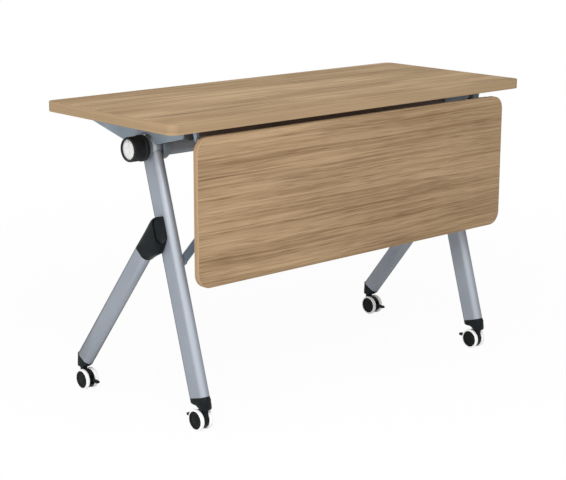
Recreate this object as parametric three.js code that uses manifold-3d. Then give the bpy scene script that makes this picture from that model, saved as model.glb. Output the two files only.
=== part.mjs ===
// A flip top training table: a nesting frame on four braked casters, a tilting top and a hung front panel.
// Millimetres. +X runs along the top to the right, +Y to the user's side and +Z up.
// The origin is on the floor under the middle of the top.
import * as THREE from "three";
import { mergeVertices } from "three/addons/utils/BufferGeometryUtils.js";
import Module from "manifold-3d";

// Fits
const SEAT_GAP = 0.3; // between pieces that seat on each other
const RUNNING_GAP = 0.3; // between a pin and the bore that turns or slides on it
const SIDE_GAP = 0.6; // between faces that turn past each other
const OVERRUN = 1; // by which a cutting solid runs past the piece it cuts

// Top and its edge band
const TABLE_HEIGHT = 750;
const TOP_LENGTH = 1200;
const TOP_DEPTH = 500;
const TOP_THICKNESS = 25;
const TOP_CORNER_RADIUS = 22;
const TOP_BAND = 2;

// Front panel, flush with the front edge of the top
const PANEL_END_INSET = 72; // from the end of the top to the end of the panel
const PANEL_TOP_GAP = 14; // from the underside of the top to the panel
const PANEL_HEIGHT = 352;
const PANEL_THICKNESS = 15;
const PANEL_CORNER_RADIUS = 35;
const PANEL_BAND = 1.5;

// Flip axis, along X through both leg heads
const PIVOT_Y = -30;
const PIVOT_DROP = 64; // from the underside of the top
const FLIP_ANGLE = Math.PI / 2;

// Legs: flat oval tubes, the rear pair outside the front pair so that tables nest
const LEG_INSET = 109; // from the end of the top to the middle plane of a front leg
const LEG_THICKNESS = 29;
const LEG_WALL = 2;
const LEG_SIDE_GAP = 0.4; // between a front leg and the rear leg bolted to its outer side
const FRONT_LEG_WIDTH = 60;
const REAR_LEG_WIDTH = 50;
const FRONT_FOOT_INSET = 47; // from the front edge of the top to the cut end of a front leg
const FRONT_FOOT_Z = 80;
const REAR_FOOT_INSET = 21; // from the rear edge of the top to the cut end of a rear leg
const REAR_FOOT_Z = 77;
const JOINT_Z = 475; // height at which the two leg axes cross

// Bolt that holds the legs of one side together
const BOLT_RADIUS = 4;
const BOLT_HEAD_RADIUS = 8;
const BOLT_HEAD_HEIGHT = 5;
const BOLT_SETBACK = 20; // from the crossing of the axes down the rear leg
const BOLT_REACH = 20; // into the joint

// Moulded joint that plugs into the rear leg and is bolted to the side of the front leg
const JOINT_SKIRT = 86; // from the crossing of the axes down to the cut end of the rear leg
const JOINT_FLARE = 12; // by which the lower side stands out past the tube at the bolt
const JOINT_PLUG = 35; // length inside the tube
const JOINT_FRONT_REACH = 12; // from the front leg's axis to the front edge
const JOINT_TIP_SETBACK = 8; // from the crossing of the axes down to where the tip slopes off
const JOINT_TIP_SLOPE = 0.36;
const JOINT_BEVEL = 8;

// Leg head with the hollow trunnion that the flip bracket turns on
const HEAD_MARGIN = 1; // by which the round head is wider than the leg on each side
const HEAD_BOSS = 10; // by which the head stands out past the leg, behind the knob
const SPIGOT_LENGTH = 38;
const TRUNNION_RADIUS = 15;
const TRUNNION_ENGAGEMENT = 27; // into the end of the beam

// Beam between the leg heads, and its braces
const BEAM_RADIUS = 25.5;
const BEAM_WALL = 2.5;
const BEAM_RING_LENGTH = 30; // welded ring inside each end
const BRACE_RADIUS = 10.5;
const BRACE_LEG_Z = 383; // where the axis of a brace meets the leg
const BRACE_BEAM_X = 79; // where the axis of a brace meets that of the beam
const BRACE_END_OVERRUN = 30; // length that is trimmed to fit the leg and the beam

// Flip bracket under each end of the top, measured from the flip axis
const HUB_LENGTH = 19;
const HUB_MARGIN = 2; // by which the hub is wider than the leg head
const ARM_WIDTH = 33;
const ARM_HEAD_GAP = 2.5; // between the arm and the round head or the leg when flipped
const ARM_HANGER_GAP = 4; // from the front end of the arm to the panel hanger
const ARM_FRONT_TIP = 21; // depth of the front tip below the top
const ARM_FRONT_NOSE = 8; // length over which the nose curls up
const ARM_FRONT_NOSE_DEPTH = 30;
const ARM_FRONT_SLOPE = 0.304;
const ARM_REAR_INSET = 25; // from the rear edge of the top to the rear end of the arm
const ARM_REAR_TIP = 23;
const ARM_REAR_SLOPE = 0.209;
const WEB_WIDTH = 50; // of the block that joins hub and arm

// Stretcher between the brackets
const STRETCHER_DEPTH = 32;
const STRETCHER_HEIGHT = 46;
const STRETCHER_WALL = 2;
const STRETCHER_OFFSET = 30; // from the flip axis forward to its rear face

// Hung hinge of the panel
const HINGE_DROP = 25; // from the underside of the top to the hinge axis
const HINGE_STANDOFF = 20; // from the back of the panel to the hinge axis
const HINGE_PIN_RADIUS = 3;
const HINGE_EYE_RADIUS = 7;
const HINGE_EAR = 5;
const HINGE_EAR_DEPTH = 25; // of an ear under the top, from where it tapers down to the pin
const HINGE_WIDTH = 24;
const HANGER_PLATE = 4;
const HANGER_PLATE_DEPTH = 44;
const LEAF_THICKNESS = 3;
const LEAF_LENGTH = 60;
const LEAF_WIDTH = 34;

// Release: a rod through the beam with a knob at each end, and the pins that lock the top
const ROD_RADIUS = 5; // over the corners of the hexagon
const KNOB_GAP = 1; // from the leg head to the back of the knob
const KNOB_LENGTH = 43.5;
const KNOB_RADIUS = 30;
const KNOB_FLUTES = 16;
const KNOB_FLUTE_DEPTH = 1.4;
const FLUTE_STEPS = 4;
const KNOB_CHAMFER = 2;
const COLLAR_RADIUS = 32;
const COLLAR_LENGTH = 10;
const KNOB_SOCKET = 26; // depth of the hexagonal socket
const DISC_RADIUS = 24;
const DISC_THICKNESS = 3;
const DISC_RECESS = 6;
const PIN_RADIUS = 4;
const PIN_TRAVEL = 10;

// Boots that close the legs and hold the caster stems
const BOOT_BOTTOM = 58;
const BOOT_PLUG = 40; // length inside the tube
const BOOT_ROOT = 2; // by which the plug runs into the body of the boot
const FRONT_BOOT_TOE = 5; // by which the toe stands out past the end of the tube
const REAR_BOOT_HEEL = 0.5; // by which the heel stands out past the end of the tube
const BOOT_CHAMFER = 6;
const FRONT_BOOT_LIP = 11; // below the tube at the thin side
const REAR_BOOT_LIP = 4;
const NECK_RADIUS = 10;
const NECK_DROP = 3.5; // below the boot

// Twin wheel casters
const FRONT_STEM_INSET = 30; // from the front edge of the top to the swivel axis
const REAR_STEM_INSET = 14; // from the rear edge of the top to the swivel axis
const TRAIL = 14; // from the swivel axis to the axle
const STEM_RADIUS = 5;
const STEM_LENGTH = 24;
const WHEEL_RADIUS = 26.5;
const WHEEL_WIDTH = 12.6;
const TREAD = 4.2;
const TREAD_CROWN = 1;
const HUB_DISH = 1;
const HUB_RIM = 4;
const FORK_WIDTH = 11.4;
const FORK_RADIUS = 24;
const FORK_NECK = 15;
const AXLE_RADIUS = 4;
const HUB_CAP = 2.6; // from the outer face of the wheel to the end of its axle bore
const LEVER_WIDTH = 8;
const LEVER_THICKNESS = 7;
const LEVER_PIVOT_OUT = 14; // from the axle
const LEVER_PIVOT_UP = 1;
const LEVER_PIN_RADIUS = 2;
const LEVER_TAIL = 4;
const LEVER_REACH = 36;
const LEVER_SLOT_START = 8; // from the axle
const LEVER_SLOT_HALF = 12;

// Smoothness of round pieces
const WHEEL_SIDES = 20;
const ROUND_SIDES = 28;
const SMALL_SIDES = 12;
const HEX_SIDES = 6;
const ARC_STEPS = 3;
const MERGE_TOLERANCE = 1e-4;

// Places worked out from the sizes above
const TOP_UNDERSIDE = TABLE_HEIGHT - TOP_THICKNESS;
const PIVOT_Z = TOP_UNDERSIDE - PIVOT_DROP;
const FRONT_LEG_X = TOP_LENGTH / 2 - LEG_INSET;
const REAR_LEG_X = FRONT_LEG_X + LEG_THICKNESS + LEG_SIDE_GAP;
const HEAD_INNER_X = FRONT_LEG_X - LEG_THICKNESS / 2;
const HEAD_OUTER_X = FRONT_LEG_X + LEG_THICKNESS / 2;
const HEAD_RADIUS = FRONT_LEG_WIDTH / 2 + HEAD_MARGIN;
const HUB_RADIUS = HEAD_RADIUS + HUB_MARGIN;
const HUB_OUTER_X = HEAD_INNER_X - SIDE_GAP;
const HUB_INNER_X = HUB_OUTER_X - HUB_LENGTH;
const BEAM_END_X = HUB_INNER_X - SEAT_GAP;
const ARM_INNER_X = HEAD_OUTER_X - ARM_WIDTH;
const HEAD_FACE_X = HEAD_OUTER_X + HEAD_BOSS;
const KNOB_BACK_X = HEAD_FACE_X + KNOB_GAP;
const KNOB_FRONT_X = KNOB_BACK_X + KNOB_LENGTH;
const PIN_ORBIT = (TRUNNION_RADIUS + HEAD_RADIUS) / 2;
const PANEL_BACK_Y = -TOP_DEPTH / 2 + PANEL_THICKNESS;
const HINGE_Y = PANEL_BACK_Y + HINGE_STANDOFF;
const HINGE_Z = TOP_UNDERSIDE - HINGE_DROP;
const HANGER_REAR = HANGER_PLATE_DEPTH - HINGE_EYE_RADIUS; // from the hinge axis to the end of its plate
const ARM_FRONT_REACH = PIVOT_Y - HINGE_Y - HANGER_REAR - ARM_HANGER_GAP;
const ARM_REAR_REACH = TOP_DEPTH / 2 - ARM_REAR_INSET - PIVOT_Y;
const FRONT_STEM_Y = -TOP_DEPTH / 2 + FRONT_STEM_INSET;
const REAR_STEM_Y = TOP_DEPTH / 2 - REAR_STEM_INSET;
const STEM_TOP = BOOT_BOTTOM - NECK_DROP + STEM_LENGTH;
const PIVOT = new THREE.Vector2(PIVOT_Y, PIVOT_Z);
const FRONT_FOOT = new THREE.Vector2(-TOP_DEPTH / 2 + FRONT_FOOT_INSET, FRONT_FOOT_Z);
const REAR_FOOT = new THREE.Vector2(TOP_DEPTH / 2 - REAR_FOOT_INSET, REAR_FOOT_Z);
const JOINT = FRONT_FOOT.clone().lerp(PIVOT, (JOINT_Z - FRONT_FOOT_Z) / (PIVOT_Z - FRONT_FOOT_Z));

const FINISH = {
  wood: { color: 0xb99872, roughness: 0.55, metalness: 0 },
  silver: { color: 0xaab1b9, roughness: 0.38, metalness: 0.6 },
  bracket: { color: 0x888b90, roughness: 0.45, metalness: 0.5 },
  steel: { color: 0xb8babd, roughness: 0.3, metalness: 1 },
  black: { color: 0x24272a, roughness: 0.5, metalness: 0 },
  white: { color: 0xe9e9e9, roughness: 0.5, metalness: 0 },
};

const wasm = await Module();
wasm.setup();

// A closed geometry as a solid that can be joined and cut
function toSolid(geometry) {
  const bare = geometry.clone();
  bare.deleteAttribute("normal");
  bare.deleteAttribute("uv");
  const merged = mergeVertices(bare, MERGE_TOLERANCE);
  return new wasm.Manifold(
    new wasm.Mesh({
      numProp: 3,
      vertProperties: merged.attributes.position.array,
      triVerts: new Uint32Array(merged.index.array),
    }),
  );
}

function toGeometry(solid) {
  const { numProp, vertProperties, triVerts } = solid.getMesh();
  const count = vertProperties.length / numProp;
  const positions = new Float32Array(count * 3);
  for (let i = 0; i < count; i++) {
    positions.set(vertProperties.subarray(i * numProp, i * numProp + 3), i * 3);
  }
  const geometry = new THREE.BufferGeometry();
  geometry.setAttribute("position", new THREE.BufferAttribute(positions, 3));
  geometry.setIndex(new THREE.BufferAttribute(new Uint32Array(triVerts), 1));
  geometry.computeVertexNormals();
  return geometry;
}

function join(...solids) {
  return solids.reduce((sum, solid) => sum.add(solid));
}

function cut(solid, ...tools) {
  return tools.reduce((left, tool) => left.subtract(tool), solid);
}

function piece(name, solid, finish) {
  const mesh = new THREE.Mesh(toGeometry(solid), new THREE.MeshStandardMaterial(FINISH[finish]));
  mesh.name = name;
  return mesh;
}

// Outlines

function polygon(points) {
  return new THREE.Shape(points.map(([u, v]) => new THREE.Vector2(u, v)));
}

function roundedRectangle(width, height, radius) {
  const u = width / 2 - radius;
  const v = height / 2 - radius;
  const shape = new THREE.Shape();
  shape.absarc(u, v, radius, 0, Math.PI / 2);
  shape.absarc(-u, v, radius, Math.PI / 2, Math.PI);
  shape.absarc(-u, -v, radius, Math.PI, 1.5 * Math.PI);
  shape.absarc(u, -v, radius, 1.5 * Math.PI, 2 * Math.PI);
  shape.closePath();
  return shape;
}

// A flat oval with its thickness along u and its width along v
function flatOval(thickness, width) {
  const radius = thickness / 2;
  const v = width / 2 - radius;
  const shape = new THREE.Shape();
  shape.absarc(0, v, radius, 0, Math.PI);
  shape.absarc(0, -v, radius, Math.PI, 2 * Math.PI);
  shape.closePath();
  return shape;
}

// Solids

const ALONG_X = new THREE.Matrix4().makeBasis(
  new THREE.Vector3(0, 1, 0),
  new THREE.Vector3(0, 0, 1),
  new THREE.Vector3(1, 0, 0),
);

function extrude(shape, depth, matrix) {
  const geometry = new THREE.ExtrudeGeometry(shape, {
    depth,
    steps: 1,
    bevelEnabled: false,
    curveSegments: ARC_STEPS,
  });
  return toSolid(geometry.applyMatrix4(matrix));
}

// A shape drawn in Y and Z, as thick as the stretch from x0 to x1
function slab(shape, x0, x1) {
  return extrude(shape, x1 - x0, new THREE.Matrix4().makeTranslation(x0, 0, 0).multiply(ALONG_X));
}

// A shape drawn in X and Y, as high as the stretch from z0 to z1
function plate(shape, z0, z1) {
  return extrude(shape, z1 - z0, new THREE.Matrix4().makeTranslation(0, 0, z0));
}

function block(x0, x1, y0, y1, z0, z1) {
  const geometry = new THREE.BoxGeometry(x1 - x0, y1 - y0, z1 - z0);
  return toSolid(geometry.translate((x0 + x1) / 2, (y0 + y1) / 2, (z0 + z1) / 2));
}

function rodX(radius, x0, x1, y, z, sides = ROUND_SIDES) {
  const geometry = new THREE.CylinderGeometry(radius, radius, x1 - x0, sides);
  return toSolid(geometry.rotateZ(-Math.PI / 2).translate((x0 + x1) / 2, y, z));
}

function rodZ(radius, x, y, z0, z1, sides = ROUND_SIDES) {
  const geometry = new THREE.CylinderGeometry(radius, radius, z1 - z0, sides);
  return toSolid(geometry.rotateX(Math.PI / 2).translate(x, y, (z0 + z1) / 2));
}

// A closed profile of [radius, x] points turned about the X axis
function turnedX(profile, sides) {
  const points = profile.map(([radius, x]) => new THREE.Vector2(radius, x));
  return toSolid(new THREE.LatheGeometry(points, sides).rotateZ(-Math.PI / 2));
}

// The frame of a leg: x across its thickness, y across its width and z up its axis
class LegLine {
  constructor(x, foot, aim) {
    this.foot = foot;
    this.along = aim.clone().sub(foot).normalize();
    this.across = new THREE.Vector2(this.along.y, -this.along.x);
    this.matrix = new THREE.Matrix4().makeBasis(
      new THREE.Vector3(1, 0, 0),
      new THREE.Vector3(0, this.across.x, this.across.y),
      new THREE.Vector3(0, this.along.x, this.along.y),
    );
    this.matrix.setPosition(x, foot.x, foot.y);
  }

  // The point in Y and Z at a distance up the axis and to one side of it
  at(up, side) {
    return this.foot.clone().addScaledVector(this.along, up).addScaledVector(this.across, side);
  }

  upTo(point) {
    return point.clone().sub(this.foot).dot(this.along);
  }

  // A flat oval bar between two distances up the axis, its middle shifted to one side of the axis
  bar(thickness, width, from, to, shift = 0) {
    const placed = this.matrix.clone().multiply(new THREE.Matrix4().makeTranslation(0, shift, from));
    return extrude(flatOval(thickness, width), to - from, placed);
  }

  // All that lies in front of a line beside the axis
  front(side, size, x0, x1) {
    const shape = new THREE.Shape([
      this.at(-size, side),
      this.at(size, side),
      this.at(size, -size),
      this.at(-size, -size),
    ]);
    return slab(shape, x0, x1);
  }
}

const FRONT_LINE = new LegLine(FRONT_LEG_X, FRONT_FOOT, PIVOT);
const REAR_LINE = new LegLine(REAR_LEG_X, REAR_FOOT, JOINT);
const BOLT = REAR_LINE.at(REAR_LINE.upTo(JOINT) - BOLT_SETBACK, 0);
const BORE = 2 * LEG_WALL; // what both walls take from the outer size of a tube

// Top and panel

// A board lying from z = 0 up: the core, and the band round its edge
function bandedBoard(length, height, thickness, radius, band) {
  const outline = (inset) => roundedRectangle(length - 2 * inset, height - 2 * inset, radius - inset);
  const core = plate(outline(band + SEAT_GAP), 0, thickness);
  const ring = cut(plate(outline(0), 0, thickness), plate(outline(band), -OVERRUN, thickness + OVERRUN));
  return { core, ring };
}

function tableTop() {
  const top = bandedBoard(TOP_LENGTH, TOP_DEPTH, TOP_THICKNESS, TOP_CORNER_RADIUS, TOP_BAND);
  const board = new THREE.Group();
  board.add(piece("table_top", top.core, "wood"), piece("top_edge_band", top.ring, "wood"));
  board.position.z = TOP_UNDERSIDE;
  return board;
}

function frontPanel() {
  const length = TOP_LENGTH - 2 * PANEL_END_INSET;
  const panel = bandedBoard(length, PANEL_HEIGHT, PANEL_THICKNESS, PANEL_CORNER_RADIUS, PANEL_BAND);
  const board = new THREE.Group();
  board.add(piece("modesty_panel", panel.core, "wood"), piece("panel_edge_band", panel.ring, "wood"));
  board.rotation.x = Math.PI / 2;
  board.position.set(0, PANEL_BACK_Y, TOP_UNDERSIDE - PANEL_TOP_GAP - PANEL_HEIGHT / 2);
  return board;
}

function stretcher() {
  const end = ARM_INNER_X - SEAT_GAP;
  const outer = roundedRectangle(STRETCHER_DEPTH, STRETCHER_HEIGHT, STRETCHER_WALL);
  const width = STRETCHER_DEPTH - 2 * STRETCHER_WALL;
  const height = STRETCHER_HEIGHT - 2 * STRETCHER_WALL;
  const run = end + OVERRUN;
  const inner = block(-run, run, -width / 2, width / 2, -height / 2, height / 2);
  const mesh = piece("top_stretcher", cut(slab(outer, -end, end), inner), "black");
  mesh.position.y = PIVOT_Y - STRETCHER_OFFSET - STRETCHER_DEPTH / 2;
  mesh.position.z = TOP_UNDERSIDE - SEAT_GAP - STRETCHER_HEIGHT / 2;
  return mesh;
}

// Side view of the bracket arm, from the flip axis: it rides over the round head, and its heel follows
// the rear face of the leg as that lies when the top is flipped up
function armOutline() {
  const top = PIVOT_DROP - SEAT_GAP;
  const clear = HEAD_RADIUS + ARM_HEAD_GAP;
  const heel = FRONT_LEG_WIDTH / 2 + ARM_HEAD_GAP;
  const normal = FRONT_LINE.across.clone().rotateAround(new THREE.Vector2(), FLIP_ANGLE);
  const heelAngle = normal.angle() - Math.acos(heel / clear);
  const noseY = ARM_FRONT_NOSE - ARM_FRONT_REACH;
  const noseZ = top - ARM_FRONT_NOSE_DEPTH;
  const frontZ = (y) => noseZ - ARM_FRONT_SLOPE * (y - noseY);
  const rearZ = (y) => top - ARM_REAR_TIP - ARM_REAR_SLOPE * (ARM_REAR_REACH - y);
  const kneeY = (heel / normal.y - rearZ(0)) / (ARM_REAR_SLOPE + normal.x / normal.y);
  const throatZ = frontZ(-clear);
  const throatAngle = Math.PI - Math.asin(throatZ / clear);
  const shape = new THREE.Shape();
  shape.moveTo(-ARM_FRONT_REACH, top);
  shape.lineTo(-ARM_FRONT_REACH, top - ARM_FRONT_TIP);
  shape.quadraticCurveTo(-ARM_FRONT_REACH, noseZ, noseY, noseZ);
  shape.absarc(0, 0, clear, throatAngle, heelAngle, true);
  shape.lineTo(kneeY, rearZ(kneeY));
  shape.lineTo(ARM_REAR_REACH, rearZ(ARM_REAR_REACH));
  shape.lineTo(ARM_REAR_REACH, top);
  shape.closePath();
  return shape;
}

// The holes for the lock pin: below the axis, and where that point of the frame lies on the flipped hub
function pinHoles() {
  const reach = HUB_OUTER_X - PIN_TRAVEL - SIDE_GAP - PIN_RADIUS;
  return [0, FLIP_ANGLE].map((turn) => {
    const at = new THREE.Vector2(0, -PIN_ORBIT).rotateAround(new THREE.Vector2(), turn);
    return rodX(PIN_RADIUS + RUNNING_GAP, reach, HEAD_OUTER_X, at.x, at.y, SMALL_SIDES);
  });
}

function flipBracket(side) {
  const top = PIVOT_DROP - SEAT_GAP;
  const arm = slab(armOutline(), ARM_INNER_X, HEAD_OUTER_X);
  const hub = rodX(HUB_RADIUS, HUB_INNER_X, HUB_OUTER_X, 0, 0);
  const web = block(HUB_INNER_X, HUB_OUTER_X, -WEB_WIDTH / 2, WEB_WIDTH / 2, 0, top);
  const bore = rodX(TRUNNION_RADIUS + RUNNING_GAP, HUB_INNER_X - OVERRUN, HUB_OUTER_X + OVERRUN, 0, 0);
  const solid = cut(join(arm, hub, web), bore, ...pinHoles());
  const mesh = piece(`flip_bracket_${side}`, solid, "bracket");
  mesh.position.set(0, PIVOT_Y, PIVOT_Z);
  return mesh;
}

// Panel hinge: two ears and a pin under the top, and a leaf with an eye on the back of the panel

function panelHanger(side) {
  const x0 = FRONT_LEG_X - HINGE_WIDTH / 2;
  const x1 = FRONT_LEG_X + HINGE_WIDTH / 2;
  const top = HINGE_DROP - SEAT_GAP;
  const ear = join(
    rodX(HINGE_EYE_RADIUS, 0, HINGE_EAR, 0, 0, SMALL_SIDES),
    slab(polygon([
      [-HINGE_EYE_RADIUS, 0],
      [HINGE_EYE_RADIUS, 0],
      [HINGE_EAR_DEPTH - HINGE_EYE_RADIUS, top],
      [-HINGE_EYE_RADIUS, top],
    ]), 0, HINGE_EAR),
  );
  const flange = block(x0, x1, -HINGE_EYE_RADIUS, HANGER_REAR, top - HANGER_PLATE, top);
  const pin = rodX(HINGE_PIN_RADIUS, x0, x1, 0, 0, SMALL_SIDES);
  const solid = join(ear.translate([x0, 0, 0]), ear.translate([x1 - HINGE_EAR, 0, 0]), flange, pin);
  const mesh = piece(`panel_hanger_${side}`, solid, "bracket");
  mesh.position.set(0, HINGE_Y, HINGE_Z);
  return mesh;
}

function panelHinge(side) {
  const half = HINGE_WIDTH / 2 - HINGE_EAR - RUNNING_GAP;
  const x0 = FRONT_LEG_X - half;
  const x1 = FRONT_LEG_X + half;
  const back = SEAT_GAP - HINGE_STANDOFF;
  const face = back + LEAF_THICKNESS;
  const eye = rodX(HINGE_EYE_RADIUS, x0, x1, 0, 0, SMALL_SIDES);
  const arm = slab(polygon([
    [-HINGE_EYE_RADIUS, 0],
    [back, -HINGE_EYE_RADIUS],
    [back, -LEAF_LENGTH / 2],
    [face, -LEAF_LENGTH / 2],
    [HINGE_EYE_RADIUS, 0],
  ]), x0, x1);
  const leafX = LEAF_WIDTH / 2;
  const leafTop = -2 * HINGE_EYE_RADIUS;
  const leaf = block(FRONT_LEG_X - leafX, FRONT_LEG_X + leafX, back, face, leafTop - LEAF_LENGTH, leafTop);
  const bore = rodX(HINGE_PIN_RADIUS + RUNNING_GAP, x0 - OVERRUN, x1 + OVERRUN, 0, 0, SMALL_SIDES);
  const mesh = piece(`panel_hinge_${side}`, cut(join(eye, arm, leaf), bore), "bracket");
  mesh.position.set(0, HINGE_Y, HINGE_Z);
  return mesh;
}

// Frame

function boltHole() {
  const end = REAR_LEG_X - LEG_THICKNESS / 2 + BOLT_REACH + SEAT_GAP;
  return rodX(BOLT_RADIUS + SEAT_GAP, HEAD_INNER_X - OVERRUN, end, BOLT.x, BOLT.y, SMALL_SIDES);
}

function legHead(side) {
  const reach = FRONT_LINE.upTo(PIVOT);
  const head = rodX(HEAD_RADIUS, HEAD_INNER_X, HEAD_FACE_X, PIVOT_Y, PIVOT_Z);
  const trunnionEnd = BEAM_END_X - TRUNNION_ENGAGEMENT;
  const trunnion = rodX(TRUNNION_RADIUS, trunnionEnd, FRONT_LEG_X, PIVOT_Y, PIVOT_Z);
  const spigot = FRONT_LINE.bar(
    LEG_THICKNESS - BORE - 2 * SEAT_GAP,
    FRONT_LEG_WIDTH - BORE - 2 * SEAT_GAP,
    reach - HEAD_RADIUS - SPIGOT_LENGTH,
    reach - TRUNNION_RADIUS,
  );
  const rodBore = rodX(ROD_RADIUS + RUNNING_GAP, 0, KNOB_FRONT_X, PIVOT_Y, PIVOT_Z, SMALL_SIDES);
  const pinZ = PIVOT_Z - PIN_ORBIT;
  const pinBore = rodX(PIN_RADIUS + RUNNING_GAP, HUB_INNER_X, KNOB_FRONT_X, PIVOT_Y, pinZ, SMALL_SIDES);
  return piece(`leg_head_${side}`, cut(join(head, spigot, trunnion), rodBore, pinBore), "silver");
}

function frontLeg(side) {
  const reach = FRONT_LINE.upTo(PIVOT);
  const outer = FRONT_LINE.bar(LEG_THICKNESS, FRONT_LEG_WIDTH, 0, reach);
  const inner = FRONT_LINE.bar(LEG_THICKNESS - BORE, FRONT_LEG_WIDTH - BORE, -OVERRUN, reach + OVERRUN);
  const seatRadius = HEAD_RADIUS + SEAT_GAP;
  const seat = rodX(seatRadius, HEAD_INNER_X - OVERRUN, HEAD_OUTER_X + OVERRUN, PIVOT_Y, PIVOT_Z);
  return piece(`front_leg_${side}`, cut(outer, inner, seat, boltHole()), "silver");
}

function rearLeg(side) {
  const reach = REAR_LINE.upTo(JOINT) - JOINT_SKIRT;
  const outer = REAR_LINE.bar(LEG_THICKNESS, REAR_LEG_WIDTH, 0, reach);
  const inner = REAR_LINE.bar(LEG_THICKNESS - BORE, REAR_LEG_WIDTH - BORE, -OVERRUN, reach + OVERRUN);
  return piece(`rear_leg_${side}`, cut(outer, inner), "silver");
}

function legBolt(side) {
  const tip = REAR_LEG_X - LEG_THICKNESS / 2 + BOLT_REACH;
  const face = HEAD_INNER_X - SEAT_GAP;
  const start = face - BOLT_HEAD_HEIGHT;
  const shank = rodX(BOLT_RADIUS, start, tip, BOLT.x, BOLT.y, SMALL_SIDES);
  const head = rodX(BOLT_HEAD_RADIUS, start, face, BOLT.x, BOLT.y, HEX_SIDES);
  return piece(`leg_bolt_${side}`, join(shank, head), "steel");
}

// The joint carries on from the rear leg's tube: its lower side flares, its tip slopes off, and it is cut
// and bevelled along the front leg
function legJoint(side) {
  const up = REAR_LINE.upTo(JOINT);
  const half = REAR_LEG_WIDTH / 2;
  const outer = REAR_LEG_X + LEG_THICKNESS / 2;
  const seat = up - JOINT_SKIRT + SEAT_GAP;
  const size = PIVOT_Z;
  const straight = REAR_LINE.bar(LEG_THICKNESS, REAR_LEG_WIDTH, seat, up + half);
  const flareAim = REAR_LINE.at(up - BOLT_SETBACK, -JOINT_FLARE);
  const flareLine = new LegLine(REAR_LEG_X, REAR_LINE.at(seat, 0), flareAim);
  const flare = flareLine.bar(LEG_THICKNESS, REAR_LEG_WIDTH, -half, JOINT_SKIRT + half);
  const tip = slab(new THREE.Shape([
    REAR_LINE.at(up - JOINT_TIP_SETBACK, half),
    REAR_LINE.at(up - JOINT_TIP_SETBACK + size, half - JOINT_TIP_SLOPE * size),
    REAR_LINE.at(up + size, size),
    REAR_LINE.at(up - JOINT_TIP_SETBACK, size),
  ]), HEAD_OUTER_X, outer + OVERRUN);
  const tube = slab(new THREE.Shape([
    REAR_LINE.at(seat, -size),
    REAR_LINE.at(seat, size),
    REAR_LINE.at(seat - size, size),
    REAR_LINE.at(seat - size, -size),
  ]), HEAD_OUTER_X, outer + OVERRUN);
  const beyond = FRONT_LINE.front(-JOINT_FRONT_REACH, size, HEAD_OUTER_X, outer + OVERRUN);
  const bevel = bevelAlongLeg(JOINT_BEVEL - JOINT_FRONT_REACH, outer);
  const body = cut(join(straight, flare), tube, tip, beyond, bevel);
  const plug = REAR_LINE.bar(
    LEG_THICKNESS - BORE - 2 * SEAT_GAP,
    REAR_LEG_WIDTH - BORE - 2 * SEAT_GAP,
    seat - JOINT_PLUG,
    up - BOLT_SETBACK,
  );
  return piece(`leg_joint_${side}`, cut(join(body, plug), boltHole()), "black");
}

// A 45 degree wedge that takes the edge between the outer face and the front edge
function bevelAlongLeg(side, outer) {
  const size = TABLE_HEIGHT;
  const shape = polygon([
    [outer, side],
    [outer + size, side],
    [outer + size, -size],
    [outer - size - side, -size],
  ]);
  const geometry = new THREE.ExtrudeGeometry(shape, { depth: 2 * size, bevelEnabled: false });
  const placed = FRONT_LINE.matrix.clone().setPosition(0, FRONT_FOOT.x, FRONT_FOOT.y);
  return toSolid(geometry.translate(0, 0, -size / 2).applyMatrix4(placed));
}

function crossBeam() {
  const inner = BEAM_RADIUS - BEAM_WALL;
  const ring = TRUNNION_RADIUS + SEAT_GAP;
  const end = BEAM_END_X;
  const solid = turnedX([
    [ring, -end],
    [BEAM_RADIUS, -end],
    [BEAM_RADIUS, end],
    [ring, end],
    [ring, end - BEAM_RING_LENGTH],
    [inner, end - BEAM_RING_LENGTH],
    [inner, BEAM_RING_LENGTH - end],
    [ring, BEAM_RING_LENGTH - end],
    [ring, -end],
  ], ROUND_SIDES);
  const mesh = piece("cross_beam", solid, "silver");
  mesh.position.set(0, PIVOT_Y, PIVOT_Z);
  return mesh;
}

function brace(side) {
  const low = FRONT_LINE.at((BRACE_LEG_Z - FRONT_FOOT_Z) / FRONT_LINE.along.y, 0);
  const from = new THREE.Vector3(HEAD_INNER_X, low.x, low.y);
  const to = new THREE.Vector3(BRACE_BEAM_X, PIVOT_Y, PIVOT_Z);
  const length = from.distanceTo(to) + BRACE_END_OVERRUN;
  const turn = new THREE.Quaternion();
  turn.setFromUnitVectors(new THREE.Vector3(0, 1, 0), to.clone().sub(from).normalize());
  const geometry = new THREE.CylinderGeometry(BRACE_RADIUS, BRACE_RADIUS, length, SMALL_SIDES);
  geometry.translate(0, length / 2 - BRACE_END_OVERRUN, 0);
  geometry.applyQuaternion(turn);
  geometry.translate(from.x, from.y, from.z);
  const legSide = HEAD_INNER_X - SEAT_GAP;
  const leg = block(legSide, TOP_LENGTH, -TOP_DEPTH, TOP_DEPTH, 0, TABLE_HEIGHT);
  const beam = rodX(BEAM_RADIUS + SEAT_GAP, 0, FRONT_LEG_X, PIVOT_Y, PIVOT_Z);
  return piece(`brace_${side}`, cut(toSolid(geometry), leg, beam), "silver");
}

// Boots: a plug in the tube, a body that carries on from it, and a neck round the caster stem

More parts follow.
